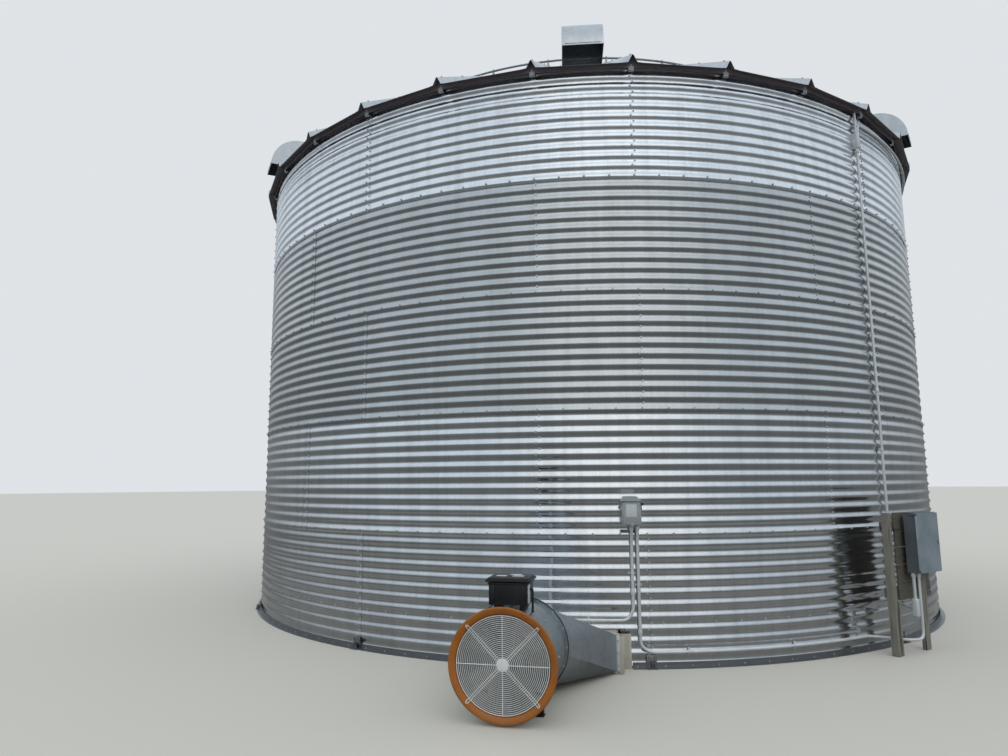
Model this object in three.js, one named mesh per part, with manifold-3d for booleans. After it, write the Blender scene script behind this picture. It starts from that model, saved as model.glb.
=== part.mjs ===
// Grain silo: a round bin of corrugated galvanised sheets with a ribbed cone roof, an aeration fan
// blowing under its floor, and a small panel stand. Millimetres, +Z up. The origin is on the bin's
// axis at ground level. Azimuths are in degrees, from -Y (the side with the fan) towards +X.
import * as THREE from 'three';
import { mergeVertices } from 'three/addons/utils/BufferGeometryUtils.js';
import { ConvexGeometry } from 'three/addons/geometries/ConvexGeometry.js';
import Module from 'manifold-3d';

const wasm = await Module();
wasm.setup();

// Driving dimensions of the bin
const GAP = 0.3; // between touching pieces
const BIN_RADIUS = 4572; // half of 30 feet
const WALL_THICKNESS = 24;
const WALL_OUTER = BIN_RADIUS + WALL_THICKNESS / 2;
const WALL_INNER = BIN_RADIUS - WALL_THICKNESS / 2;
const RING_COUNT = 5;
const RING_HEIGHT = 1117.6; // one sheet covers 44 inches
const WALL_TOP = RING_COUNT * RING_HEIGHT;
const WALL_SIDES = 60;
const SEAM_AZIMUTH = 7.16; // a roof rib, and the upright seams of the odd rings
const SHEET_ANGLE = 36;
const FLOOR_TOP = 60;

// Driving dimensions of the roof
const ROOF_SHEETS = 30;
const ROOF_SHEET_ANGLE = 360 / ROOF_SHEETS;
const ROOF_SLOPE = Math.PI / 6;
const ROOF_THICKNESS = 15;
const EAVE_RADIUS = 4700;
const EAVE_TOP = 5570; // upper face of the sheets at the eave
const PEAK_RADIUS = 450; // the sheets end here, at the fill opening
const RIB_HEIGHT = 80;
const RIB_HALF_WIDTH = 58;
const RIB_TOP_HEIGHT = 40; // at the fill opening
const RIB_TOP_HALF_WIDTH = 22;
const SECTOR_COUNT = 6; // a vent stands in the middle of each
const SECTOR_ANGLE = 360 / SECTOR_COUNT;
const VENT_AZIMUTH = SEAM_AZIMUTH - ROOF_SHEET_ANGLE / 2;
const VENT_SHIFT = 0.2; // a vent stands this little to the right of its sheet's middle
const VENT_HALF_WIDTH = 200;
const VENT_SHEET = 12;
const VENT_HEEL = 4040;
const VENT_LIP = 4730;
const VENT_MOUTH = 5748;
const VENT_TOP = 6125;
const BRACE_RADIUS = 3260; // the pipe hoop over the ribs
const BRACE_PIPE_RADIUS = 12;
const BRACE_LIFT = 46; // its clamps hold it clear of the ribs

// Driving dimensions of the fan, in its own frame: x to the right, outwards along -y
const FAN_AZIMUTH = -7; // where the fan's axis points
const FAN_SIDE = 205; // how far to the right of the bin's axis it passes
const FAN_AXIS_Z = 391;
const BELL_FRONT = 6178; // distances out from the bin's axis
const BELL_BACK = 6110;
const BELL_RADIUS = 377;
const GUARD_SEAT = 6158; // a ledge round the bell's throat
const GUARD_SEAT_RADIUS = 331;
const HOUSING_BACK = 5555;
const HOUSING_INNER = 323;
const HOUSING_OUTER = 335;
const FLANGE_RADIUS = 362;
const FLANGE_THICKNESS = 8;
const DUCT_END = 4700; // where the transition meets the entrance collar
const DUCT_ROUND_RADIUS = 325;
const DUCT_HALF_WIDTH = 642;
const DUCT_BOTTOM = 24;
const DUCT_TOP = 318;
const DUCT_SHEET = 10;
const COLLAR_HALF_WIDTH = 700;
const SKIRT_HALF_WIDTH = 745;
const SKIRT_TOP = 290;
const ROTOR_TIP = 305;
const ROTOR_FRONT = 6050;
const ROTOR_BACK = 5962;
const SHAFT_RADIUS = 14;
const SHAFT_CLEARANCE = 0.6;
const BOX_BACK = 5770; // of the control box

// Driving dimensions of the electrical pieces
const PIPE_RADIUS = 14;
const PIPE_SIDES = 8;
const PIPE_LAY = WALL_OUTER + PIPE_RADIUS + 3; // how far out the pipes lie on the wall
const BOX_AZIMUTH = 5.15;
const BOX_BOTTOM = 1215;
const BOX_TOP = 1424; // up to its gabled hood
const STAND_AZIMUTH = 38.4;
const POST_FRONT = 4890;
const POST_THICKNESS = 45;
const LEFT_POST_DEPTH = 68;
const BOARD_THICKNESS = 25;
const BOARD_TOP = 1285;
const BOARD_FOOT = 475;
const BOARD_LEFT = -86;
const BOARD_RIGHT = 450;
const RAIL_HEIGHT = 90; // boards laid across behind the others
const RAIL_TOPS = [1200, 600];
const CABINET_LEFT = -14;
const CABINET_RIGHT = 350;
const CABINET_BOTTOM = 730;
const CABINET_TOP = 1280;
const CABINET_DEPTH = 110;
const CABINET_SHEET = 12;
const DOOR_CLEARANCE = 5;
const DOOR_THICKNESS = 14;
const HINGE_RADIUS = 7;
const HINGE_PIN_RADIUS = 3;

// Materials
function material(color, roughness, metalness) {
  return () => new THREE.MeshStandardMaterial({ color, roughness, metalness });
}
const galvanised = material(0xaeb4ba, 0.38, 0.9);
const darkGalvanised = material(0x7f868c, 0.45, 0.85);
const concrete = material(0xa9a08f, 0.9, 0);
const orangePaint = material(0xc9742a, 0.5, 0.1);
const wire = material(0xd9dad6, 0.4, 0.6);
const creamPaint = material(0xc9c4b2, 0.6, 0.1);
const blackPlastic = material(0x16171a, 0.45, 0);
const greyPaint = material(0x7d8a93, 0.5, 0.2);
const motorPaint = material(0x4a5157, 0.5, 0.2);
const weatheredWood = material(0x857b6c, 0.85, 0);

// Solids
function toSolid(geometry) {
  geometry.deleteAttribute('normal');
  geometry.deleteAttribute('uv');
  const merged = mergeVertices(geometry, 1e-3);
  return new wasm.Manifold(new wasm.Mesh({
    numProp: 3,
    vertProperties: new Float32Array(merged.attributes.position.array),
    triVerts: new Uint32Array(merged.index.array),
  }));
}

function toGeometry(solid) {
  const mesh = solid.getMesh();
  const geometry = new THREE.BufferGeometry();
  geometry.setAttribute('position', new THREE.BufferAttribute(new Float32Array(mesh.vertProperties), 3));
  geometry.setIndex(new THREE.BufferAttribute(new Uint32Array(mesh.triVerts), 1));
  geometry.computeVertexNormals();
  return geometry;
}

function join(solids) {
  return solids.reduce((sum, solid) => sum.add(solid));
}

function radians(degrees) {
  return THREE.MathUtils.degToRad(degrees);
}

// A ring or disc about Z whose corners start at an azimuth; the outline runs up its outer side.
function turned(outline, sides, azimuth = 0) {
  const points = [...outline, outline[0]].map(([radius, z]) => new THREE.Vector2(radius, z));
  return new THREE.LatheGeometry(points, sides, radians(azimuth)).rotateX(Math.PI / 2);
}

// The same about an axis along Y at the fan's height; y is given as the distance outwards.
function turnedOnFanAxis(outline, sides) {
  const points = [...outline, outline[0]].map(([radius, out]) => new THREE.Vector2(radius, -out));
  return new THREE.LatheGeometry(points, sides).translate(0, 0, FAN_AXIS_Z);
}

// A box between two distances outwards, in a frame that looks along +y at the bin's axis
function box(left, right, near, far, bottom, top) {
  return new THREE.BoxGeometry(right - left, far - near, top - bottom)
    .translate((left + right) / 2, -(near + far) / 2, (bottom + top) / 2);
}

function aroundAxis(azimuth, radius, z) {
  const angle = radians(azimuth);
  return new THREE.Vector3(radius * Math.sin(angle), -radius * Math.cos(angle), z);
}

function roundShape(radius, sides) {
  const shape = new THREE.Shape();
  for (let i = 0; i < sides; i += 1) {
    const angle = (2 * Math.PI * i) / sides;
    const point = [radius * Math.cos(angle), radius * Math.sin(angle)];
    if (i === 0) shape.moveTo(...point);
    else shape.lineTo(...point);
  }
  shape.closePath();
  return shape;
}

// A route through corner points, with each inner corner rounded; one step for each of its points
class Route extends THREE.Curve {
  constructor(corners, bend) {
    super();
    this.stations = [corners[0]];
    for (let i = 1; i < corners.length - 1; i += 1) {
      const before = corners[i - 1].clone().sub(corners[i]);
      const after = corners[i + 1].clone().sub(corners[i]);
      const reach = Math.min(bend, before.length() / 2, after.length() / 2);
      const start = corners[i].clone().addScaledVector(before.normalize(), reach);
      const end = corners[i].clone().addScaledVector(after.normalize(), reach);
      const arc = new THREE.QuadraticBezierCurve3(start, corners[i], end);
      const turn = Math.PI - before.angleTo(after);
      if (turn < 0.2) this.stations.push(corners[i]);
      else this.stations.push(...arc.getPoints(turn > 1 ? 4 : 2));
    }
    this.stations.push(corners[corners.length - 1]);
  }

  getPoint(t) {
    const place = t * (this.stations.length - 1);
    const index = Math.min(Math.floor(place), this.stations.length - 2);
    return this.stations[index].clone().lerp(this.stations[index + 1], place - index);
  }

  getPointAt(t) {
    return this.getPoint(t);
  }

  getTangentAt(t) {
    const index = Math.round(t * (this.stations.length - 1));
    const before = this.stations[Math.max(index - 1, 0)];
    const here = this.stations[index];
    const after = this.stations[Math.min(index + 1, this.stations.length - 1)];
    const entry = here.clone().sub(before).normalize();
    const exit = after.clone().sub(here).normalize();
    return entry.add(exit).normalize();
  }

  getSpacedPoints(divisions) {
    return Array.from({ length: divisions + 1 }, (_, i) => this.getPoint(i / divisions));
  }
}

function pipe(corners, radius, bend, sides = PIPE_SIDES) {
  const route = new Route(corners, bend);
  return new THREE.ExtrudeGeometry(roundShape(radius, sides), {
    steps: route.stations.length - 1,
    bevelEnabled: false,
    extrudePath: route,
  });
}

const silo = new THREE.Group();

function frameAt(azimuth, side = 0) {
  const frame = new THREE.Group();
  frame.rotation.z = radians(azimuth);
  frame.translateX(side);
  silo.add(frame);
  return frame;
}

function place(parent, name, shape, makeMaterial) {
  const geometry = shape instanceof THREE.BufferGeometry ? shape : toGeometry(shape);
  const mesh = new THREE.Mesh(geometry, makeMaterial());
  mesh.name = name;
  parent.add(mesh);
}

// A wedge about Z from one azimuth to another, under 180 degrees, with both edges moved sideways
// and a gap left inside each
function wedge(from, to, shift, gap) {
  const reach = 12000;
  const first = new THREE.Vector2(Math.sin(radians(from)), -Math.cos(radians(from)));
  const last = new THREE.Vector2(Math.sin(radians(to)), -Math.cos(radians(to)));
  const firstSide = new THREE.Vector2(-first.y, first.x).multiplyScalar(shift + gap);
  const lastSide = new THREE.Vector2(-last.y, last.x).multiplyScalar(shift - gap);
  const cross = first.x * last.y - first.y * last.x;
  const delta = lastSide.clone().sub(firstSide);
  const along = (delta.x * last.y - delta.y * last.x) / cross;
  const tip = firstSide.clone().addScaledVector(first, along);
  const shape = new THREE.Shape([
    tip,
    firstSide.clone().addScaledVector(first, reach),
    lastSide.clone().addScaledVector(last, reach),
  ]);
  return toSolid(new THREE.ExtrudeGeometry(shape, { depth: 10000, bevelEnabled: false }).translate(0, 0, -500));
}

// The space that the wall fills, with a gap round it, in a frame turned to an azimuth
function wallBody(azimuth = 0, side = 0) {
  const radius = WALL_OUTER + GAP;
  return toSolid(turned([[0, -10], [radius, -10], [radius, WALL_TOP], [0, WALL_TOP]], WALL_SIDES, SEAM_AZIMUTH)
    .rotateZ(radians(-azimuth)).translate(-side, 0, 0));
}

// A box in the fan's frame, for a piece in the bin's own
function boxAtFan(halfWidth, bottom, top) {
  return toSolid(box(-halfWidth, halfWidth, 4000, 5000, bottom, top)
    .translate(FAN_SIDE, 0, 0).rotateZ(radians(FAN_AZIMUTH)));
}

// Floor and wall
function wallRing(index) {
  const bottom = index * RING_HEIGHT + (index > 0 ? GAP : 0);
  const top = (index + 1) * RING_HEIGHT;
  return turned([[WALL_INNER, bottom], [WALL_OUTER, bottom], [WALL_OUTER, top], [WALL_INNER, top]],
    WALL_SIDES, SEAM_AZIMUTH);
}

function addWall() {
  const slabRadius = WALL_INNER - GAP;
  place(silo, 'floor_slab',
    turned([[0, 0], [slabRadius, 0], [slabRadius, FLOOR_TOP], [0, FLOOR_TOP]], WALL_SIDES, SEAM_AZIMUTH),
    concrete);
  const entranceSheet = wedge(SEAM_AZIMUTH - SHEET_ANGLE, SEAM_AZIMUTH, 0, GAP);
  const entrance = boxAtFan(DUCT_HALF_WIDTH - DUCT_SHEET, DUCT_BOTTOM + DUCT_SHEET, DUCT_TOP - DUCT_SHEET);
  const lowest = toSolid(wallRing(0));
  place(silo, 'wall_sheet_entrance', lowest.intersect(entranceSheet).subtract(entrance), galvanised);
  const sheetGap = wedge(SEAM_AZIMUTH - SHEET_ANGLE, SEAM_AZIMUTH, 0, 0);
  place(silo, 'wall_ring_1', lowest.subtract(sheetGap), galvanised);
  for (let i = 1; i < RING_COUNT; i += 1) {
    place(silo, `wall_ring_${i + 1}`, wallRing(i), galvanised);
  }
}

// The angle at the foot of the wall, open at the fan's entrance, with a bracket at each seam
function addBaseAngle() {
  const inner = WALL_OUTER + GAP;
  const ring = toSolid(turned([[inner, 0], [inner + 40, 0], [inner + 40, 6], [inner + 6, 6], [inner + 6, 50],
    [inner, 50]], WALL_SIDES, SEAM_AZIMUTH));
  const brackets = [];
  for (let azimuth = SEAM_AZIMUTH; azimuth < SEAM_AZIMUTH + 360; azimuth += SHEET_ANGLE) {
    const plate = box(-45, 45, inner + 3, inner + 12, 0, 110);
    const foot = box(-45, 45, inner + 3, inner + 62, 0, 8);
    brackets.push(toSolid(plate.rotateZ(radians(azimuth))), toSolid(foot.rotateZ(radians(azimuth))));
  }
  const entrance = boxAtFan(SKIRT_HALF_WIDTH + 15, -10, 400);
  place(silo, 'base_angle', join([ring, ...brackets]).subtract(wallBody()).subtract(entrance), darkGalvanised);
}

// Roof
function roofTop(radius) {
  return EAVE_TOP + (EAVE_RADIUS - radius) * Math.tan(ROOF_SLOPE);
}

function rib(azimuth) {
  const ends = [[EAVE_RADIUS, RIB_HALF_WIDTH, RIB_HEIGHT], [PEAK_RADIUS + 2, RIB_TOP_HALF_WIDTH, RIB_TOP_HEIGHT]];
  const corners = [];
  for (const [radius, halfWidth, height] of ends) {
    const sunk = roofTop(radius) - ROOF_THICKNESS / 2;
    const spread = THREE.MathUtils.radToDeg(halfWidth / radius);
    corners.push(aroundAxis(azimuth - spread, radius, sunk), aroundAxis(azimuth + spread, radius, sunk));
    corners.push(aroundAxis(azimuth, radius, roofTop(radius) + height));
  }
  return toSolid(new ConvexGeometry(corners));
}

function addRoof() {
  const cone = toSolid(turned([
    [PEAK_RADIUS, roofTop(PEAK_RADIUS) - ROOF_THICKNESS],
    [EAVE_RADIUS, EAVE_TOP - ROOF_THICKNESS],
    [EAVE_RADIUS, EAVE_TOP],
    [PEAK_RADIUS, roofTop(PEAK_RADIUS)],
  ], ROOF_SHEETS, SEAM_AZIMUTH));
  for (let sector = 0; sector < SECTOR_COUNT; sector += 1) {
    const middle = VENT_AZIMUTH + sector * SECTOR_ANGLE;
    const from = middle - SECTOR_ANGLE / 2;
    const cut = wedge(from, from + SECTOR_ANGLE, RIB_HALF_WIDTH + 2, GAP / 2);
    const ribs = [];
    for (let i = 1; i <= ROOF_SHEETS / SECTOR_COUNT; i += 1) {
      ribs.push(rib(from + i * ROOF_SHEET_ANGLE));
    }
    const hole = toSolid(box(-VENT_HALF_WIDTH + 30, VENT_HALF_WIDTH - 30, 4090, 4350, 5000, 7000)
      .rotateZ(radians(middle)));
    place(silo, `roof_sector_${sector + 1}`, cone.intersect(cut).add(join(ribs)).subtract(hole), galvanised);
  }
}

// The ring of clips that carries the roof on the wall's top edge
function addEaveRing() {
  const outer = 4600;
  const inner = 4500;
  const bottom = WALL_TOP + GAP;
  const under = (radius) => roofTop(radius) - ROOF_THICKNESS - 2 * GAP;
  place(silo, 'eave_ring', turned([[inner, bottom], [outer, bottom], [outer, under(outer)], [inner, under(inner)]],
    ROOF_SHEETS, SEAM_AZIMUTH), darkGalvanised);
}

function addPeak() {
  const low = roofTop(PEAK_RADIUS) - 40;
  const seat = roofTop(PEAK_RADIUS) + RIB_TOP_HEIGHT + 2;
  const top = seat + 90;
  const rim = PEAK_RADIUS - GAP;
  place(silo, 'fill_collar', turned([[rim - 14, low], [rim, low], [rim, seat], [rim + 60, seat - 20],
    [rim + 60, seat - 8], [rim, seat + 12], [rim, top], [rim - 14, top]], ROOF_SHEETS, SEAM_AZIMUTH), galvanised);
  place(silo, 'fill_cap', turned([[0, top + GAP], [rim + 18, top + GAP], [rim + 18, top + 24],
    [60, top + 130], [0, top + 130]], ROOF_SHEETS, SEAM_AZIMUTH), galvanised);
}

// The pipe hoop stands in clamps on the crests of the ribs.
function addRoofBrace() {
  const crest = roofTop(BRACE_RADIUS) + RIB_HEIGHT
    - (RIB_HEIGHT - RIB_TOP_HEIGHT) * (EAVE_RADIUS - BRACE_RADIUS) / (EAVE_RADIUS - PEAK_RADIUS);
  const z = crest + BRACE_LIFT + BRACE_PIPE_RADIUS;
  const section = [];
  for (let i = 0; i < PIPE_SIDES; i += 1) {
    const angle = (2 * Math.PI * (i + 0.5)) / PIPE_SIDES;
    section.push([BRACE_RADIUS + BRACE_PIPE_RADIUS * Math.cos(angle), z + BRACE_PIPE_RADIUS * Math.sin(angle)]);
  }
  const hoop = toSolid(turned(section, ROOF_SHEETS, SEAM_AZIMUTH));
  const ribs = [];
  const clamps = [];
  for (let i = 0; i < ROOF_SHEETS; i += 1) {
    const azimuth = SEAM_AZIMUTH + i * ROOF_SHEET_ANGLE;
    ribs.push(rib(azimuth).translate(0, 0, GAP));
    clamps.push(toSolid(box(-12, 12, BRACE_RADIUS - 12, BRACE_RADIUS + 12, crest - 12, z).rotateZ(radians(azimuth))));
  }
  place(silo, 'roof_hoop', hoop.add(join(clamps).subtract(join(ribs))), darkGalvanised);
}

// A vent is a hood whose curved back rises from a sheet and turns over to a mouth above the eave.
function addVents() {
  const middleSlope = Math.tan(ROOF_SLOPE) / Math.cos(Math.PI / ROOF_SHEETS);
  const sheetTop = (out) => EAVE_TOP + EAVE_RADIUS * Math.tan(ROOF_SLOPE) - out * middleSlope + 2 * GAP;
  const reach = (height) => (sheetTop(0) - height) / middleSlope;
  const hood = (inset, drop) => {
    const back = VENT_HEEL + inset;
    const front = VENT_LIP - inset;
    const top = VENT_TOP - inset;
    const bend = 4350;
    const shape = new THREE.Shape();
    shape.moveTo(back, sheetTop(back) - drop);
    shape.lineTo(reach(VENT_MOUTH), VENT_MOUTH - drop);
    shape.lineTo(front, VENT_MOUTH - drop);
    shape.bezierCurveTo(front, VENT_MOUTH + 190, bend + 240, top, bend, top);
    shape.bezierCurveTo(bend - 150, top, back + 40, top - 45, back, VENT_TOP - 115);
    shape.closePath();
    return shape;
  };
  const solid = (inset, drop, halfWidth) => toSolid(
    new THREE.ExtrudeGeometry(hood(inset, drop), { depth: 2 * halfWidth, bevelEnabled: false, curveSegments: 8 })
      .translate(0, 0, -halfWidth)
      .applyMatrix4(new THREE.Matrix4().makeBasis(
        new THREE.Vector3(0, -1, 0), new THREE.Vector3(0, 0, 1), new THREE.Vector3(-1, 0, 0))));
  for (let sector = 0; sector < SECTOR_COUNT; sector += 1) {
    const hollow = solid(VENT_SHEET, 60, VENT_HALF_WIDTH - VENT_SHEET);
    place(frameAt(VENT_AZIMUTH + VENT_SHIFT + sector * SECTOR_ANGLE), `roof_vent_${sector + 1}`,
      solid(0, 0, VENT_HALF_WIDTH).subtract(hollow), galvanised);
  }
}

// Fan
function addFan() {
  const frame = frameAt(FAN_AZIMUTH, FAN_SIDE);
  const seat = BELL_BACK - GAP;
  place(frame, 'inlet_bell', turnedOnFanAxis([[HOUSING_INNER, BELL_BACK], [HOUSING_INNER, GUARD_SEAT],
    [GUARD_SEAT_RADIUS, GUARD_SEAT], [BELL_RADIUS - 29, BELL_FRONT - 6], [BELL_RADIUS - 11, BELL_FRONT],
    [BELL_RADIUS, BELL_FRONT - 4], [BELL_RADIUS, BELL_FRONT - 14], [BELL_RADIUS - 11, BELL_FRONT - 11],
    [BELL_RADIUS - 25, BELL_FRONT - 17], [HOUSING_OUTER, BELL_FRONT - 32], [HOUSING_OUTER, BELL_BACK]], 48),
  orangePaint);
  place(frame, 'fan_housing', turnedOnFanAxis([[HOUSING_INNER, seat], [FLANGE_RADIUS - 14, seat],
    [FLANGE_RADIUS - 14, seat - FLANGE_THICKNESS], [HOUSING_OUTER, seat - FLANGE_THICKNESS],
    [HOUSING_OUTER, HOUSING_BACK + FLANGE_THICKNESS], [FLANGE_RADIUS, HOUSING_BACK + FLANGE_THICKNESS],
    [FLANGE_RADIUS, HOUSING_BACK], [HOUSING_INNER, HOUSING_BACK]], 48), galvanised);
  addGuard(frame);
  addTransition(frame);
  addMotor(frame);
  addRotor(frame);
  addSaddle(frame);
  addControlBox(frame);
}

function addGuard(frame) {
  const back = GUARD_SEAT + GAP;
  const front = back + 7;
  const ringWidth = 7;
  const loops = [321, 264, 207, 150, 93].map((radius) => toSolid(turnedOnFanAxis(
    [[radius - ringWidth, front], [radius, front], [radius, back], [radius - ringWidth, back]], 24)));
  const middle = toSolid(turnedOnFanAxis([[0, front], [46, front], [46, back], [0, back]], 16));
  const bars = [];
  for (let i = 0; i < 4; i += 1) {
    const reach = GUARD_SEAT_RADIUS - 1;
    const bar = box(-reach, reach, back, front, -4, 4).rotateY((i * Math.PI) / 4).translate(0, 0, FAN_AXIS_Z);
    bars.push(toSolid(bar));
  }
  place(frame, 'fan_guard', join([middle, ...loops, ...bars]), wire);
}

// A square-to-round duct piece: the hull of its round end and its flat end
function ductHull(radius, halfWidth, bottom, top, near, far) {
  const corners = [];
  const sides = 32;
  for (let i = 0; i < sides; i += 1) {
    const angle = (2 * Math.PI * (i + 0.5)) / sides;
    corners.push(new THREE.Vector3(radius * Math.cos(angle), -far, FAN_AXIS_Z + radius * Math.sin(angle)));
  }
  for (const x of [-halfWidth, halfWidth]) {
    for (const z of [bottom, top]) corners.push(new THREE.Vector3(x, -near, z));
  }
  return toSolid(new ConvexGeometry(corners));
}

function addTransition(frame) {
  const front = HOUSING_BACK - GAP;
  const back = DUCT_END;
  const throatRadius = DUCT_ROUND_RADIUS - DUCT_SHEET;
  const outer = ductHull(DUCT_ROUND_RADIUS, DUCT_HALF_WIDTH, DUCT_BOTTOM, DUCT_TOP, back, front);
  const inner = ductHull(throatRadius, DUCT_HALF_WIDTH - DUCT_SHEET, DUCT_BOTTOM + DUCT_SHEET,
    DUCT_TOP - DUCT_SHEET, back, front);
  const roundEnd = toSolid(turnedOnFanAxis([[throatRadius - 5, front], [FLANGE_RADIUS, front],
    [FLANGE_RADIUS, front - FLANGE_THICKNESS], [throatRadius - 5, front - FLANGE_THICKNESS]], 48));
  const flatEnd = toSolid(box(-DUCT_HALF_WIDTH - 25, DUCT_HALF_WIDTH + 25, back, back + FLANGE_THICKNESS,
    DUCT_BOTTOM - 12, DUCT_TOP + 15));
  const mouth = toSolid(box(-DUCT_HALF_WIDTH + DUCT_SHEET, DUCT_HALF_WIDTH - DUCT_SHEET, back - 10, back + 20,
    DUCT_BOTTOM + DUCT_SHEET, DUCT_TOP - DUCT_SHEET));
  const throat = toSolid(turnedOnFanAxis([[0, front + 10], [throatRadius, front + 10],
    [throatRadius, front - 20], [0, front - 20]], 48));
  place(frame, 'fan_transition', join([outer, roundEnd, flatEnd]).subtract(inner).subtract(mouth).subtract(throat),
    darkGalvanised);
  const stub = toSolid(box(-DUCT_HALF_WIDTH, DUCT_HALF_WIDTH, 4000, back - GAP, DUCT_BOTTOM, DUCT_TOP));
  const lips = toSolid(box(-COLLAR_HALF_WIDTH, COLLAR_HALF_WIDTH, back - GAP - FLANGE_THICKNESS, back - GAP,
    2, DUCT_TOP + 2));
  const skirt = toSolid(turned([[WALL_INNER, 0], [WALL_OUTER + 12, 0], [WALL_OUTER + 12, SKIRT_TOP],
    [WALL_INNER, SKIRT_TOP]], WALL_SIDES, SEAM_AZIMUTH).rotateZ(radians(-FAN_AZIMUTH)).translate(-FAN_SIDE, 0, 0));
  const skirtLimit = toSolid(box(-SKIRT_HALF_WIDTH, SKIRT_HALF_WIDTH, 4000, 5000, 2, SKIRT_TOP));
  const bore = toSolid(box(-DUCT_HALF_WIDTH + DUCT_SHEET, DUCT_HALF_WIDTH - DUCT_SHEET, 3900, 5000,
    DUCT_BOTTOM + DUCT_SHEET, DUCT_TOP - DUCT_SHEET));
  place(frame, 'entrance_collar',
    join([stub, lips, skirt.intersect(skirtLimit)]).subtract(bore).subtract(wallBody(FAN_AZIMUTH, FAN_SIDE)),
    creamPaint);
}

function addMotor(frame) {
  const front = ROTOR_BACK - 6;
  const back = front - 290;
  const body = toSolid(turnedOnFanAxis([[0, front], [70, front], [112, front - 24], [112, back + 20], [90, back],
    [0, back]], 24));
  const shaft = toSolid(turnedOnFanAxis([[0, ROTOR_FRONT - 20], [SHAFT_RADIUS, ROTOR_FRONT - 20],
    [SHAFT_RADIUS, front - 10], [0, front - 10]], 16));
  const struts = [];
  for (let i = 0; i < 2; i += 1) {
    const reach = HOUSING_INNER * Math.cos(Math.PI / 48) - 2 * GAP;
    struts.push(toSolid(box(-reach, reach, back + 60, back + 200, -5, 5).rotateY(Math.PI / 4 + (i * Math.PI) / 2)
      .translate(0, 0, FAN_AXIS_Z)));
  }
  place(frame, 'fan_motor', join([body, shaft, ...struts]), motorPaint);
}

function addRotor(frame) {
  const hub = toSolid(turnedOnFanAxis([[0, ROTOR_FRONT], [60, ROTOR_FRONT], [84, ROTOR_FRONT - 20],
    [84, ROTOR_BACK], [0, ROTOR_BACK]], 24));
  const bore = toSolid(turnedOnFanAxis([[0, ROTOR_FRONT - 19], [SHAFT_RADIUS + SHAFT_CLEARANCE, ROTOR_FRONT - 19],
    [SHAFT_RADIUS + SHAFT_CLEARANCE, ROTOR_BACK - 10], [0, ROTOR_BACK - 10]], 16));
  const middle = (ROTOR_FRONT + ROTOR_BACK) / 2;
  const blades = [];
  for (let i = 0; i < 6; i += 1) {
    const blade = new THREE.BoxGeometry(100, 7, ROTOR_TIP - 78).rotateZ(radians(35))
      .translate(0, -middle, (ROTOR_TIP + 78) / 2 - 6)
      .rotateY((i * Math.PI) / 3).translate(0, 0, FAN_AXIS_Z);
    blades.push(toSolid(blade));
  }
  place(frame, 'fan_rotor', join([hub, ...blades]).subtract(bore), motorPaint);
}

function addSaddle(frame) {
  const legOut = 5874;
  const footMiddle = 200;
  const footHalf = 32;
  const reach = footMiddle + footHalf - 2;
  const block = toSolid(box(-reach, reach, legOut - 20, legOut + 20, 0, 150));
  const feet = [-1, 1].map((side) => toSolid(box(side * footMiddle - footHalf, side * footMiddle + footHalf,
    legOut - 35, legOut + 35, 0, 8)));
  const drum = toSolid(turnedOnFanAxis([[0, 6200], [HOUSING_OUTER + GAP, 6200], [HOUSING_OUTER + GAP, 5700],
    [0, 5700]], 48));
  place(frame, 'fan_saddle', join([block, ...feet]).subtract(drum), blackPlastic);
}

function addControlBox(frame) {
  const left = -136;
  const right = 140;
  const front = 5996;
  const top = 905;
  const drum = toSolid(turnedOnFanAxis([[0, 6200], [HOUSING_OUTER + GAP, 6200], [HOUSING_OUTER + GAP, 5700],
    [0, 5700]], 48));
  const body = toSolid(box(left, right, BOX_BACK, front, 757, top));
  const feet = [-90, 94].map((side) => toSolid(box(side - 20, side + 20, BOX_BACK + 20, front - 20, 690, 760)));
  place(frame, 'control_box', join([body, ...feet]).subtract(drum), blackPlastic);
  const lid = toSolid(box(left - 22, right + 22, BOX_BACK - 18, front + 18, top + GAP, top + 18));
  const crown = toSolid(box(left - 10, right + 10, BOX_BACK - 8, front + 8, top + 10, top + 30));
  place(frame, 'control_lid', lid.add(crown), blackPlastic);
  const cableOut = 5900;
  const cableHeight = 850;
  const cableSide = right + 20;
  const cableFoot = FAN_AXIS_Z + Math.sqrt(HOUSING_OUTER ** 2 - cableSide ** 2) + 8;
  place(frame, 'control_cable', pipe([
    new THREE.Vector3(right + GAP, -cableOut, cableHeight),
    new THREE.Vector3(cableSide, -cableOut, cableHeight),
    new THREE.Vector3(cableSide, -cableOut, cableFoot),
  ], 9, 18), blackPlastic);
}

// Electrical boxes and pipes
function addDisconnect() {
  const frame = frameAt(BOX_AZIMUTH);
  const body = toSolid(box(-64, 98, WALL_INNER, WALL_OUTER + 100, BOX_BOTTOM, BOX_TOP));
  const shoulders = [[-76, BOX_TOP - 2], [104, BOX_TOP - 2], [58, BOX_TOP + 42], [-44, BOX_TOP + 42]];
  const gable = new THREE.Shape(shoulders.map(([side, z]) => new THREE.Vector2(side, z)));
  const depth = WALL_OUTER + 118 - WALL_INNER;
  const hood = toSolid(new THREE.ExtrudeGeometry(gable, { depth, bevelEnabled: false })
    .rotateX(Math.PI / 2).translate(0, -WALL_INNER, 0));
  place(frame, 'disconnect_box', body.add(hood).subtract(wallBody(BOX_AZIMUTH)), greyPaint);
  const grip = toSolid(box(99, 116, WALL_OUTER + 40, WALL_OUTER + 130, 1388, 1408));
  const arm = toSolid(box(98 + GAP, 110, WALL_OUTER + 40, WALL_OUTER + 64, 1344, 1408));
  place(frame, 'disconnect_lever', grip.add(arm), blackPlastic);
}

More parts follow.
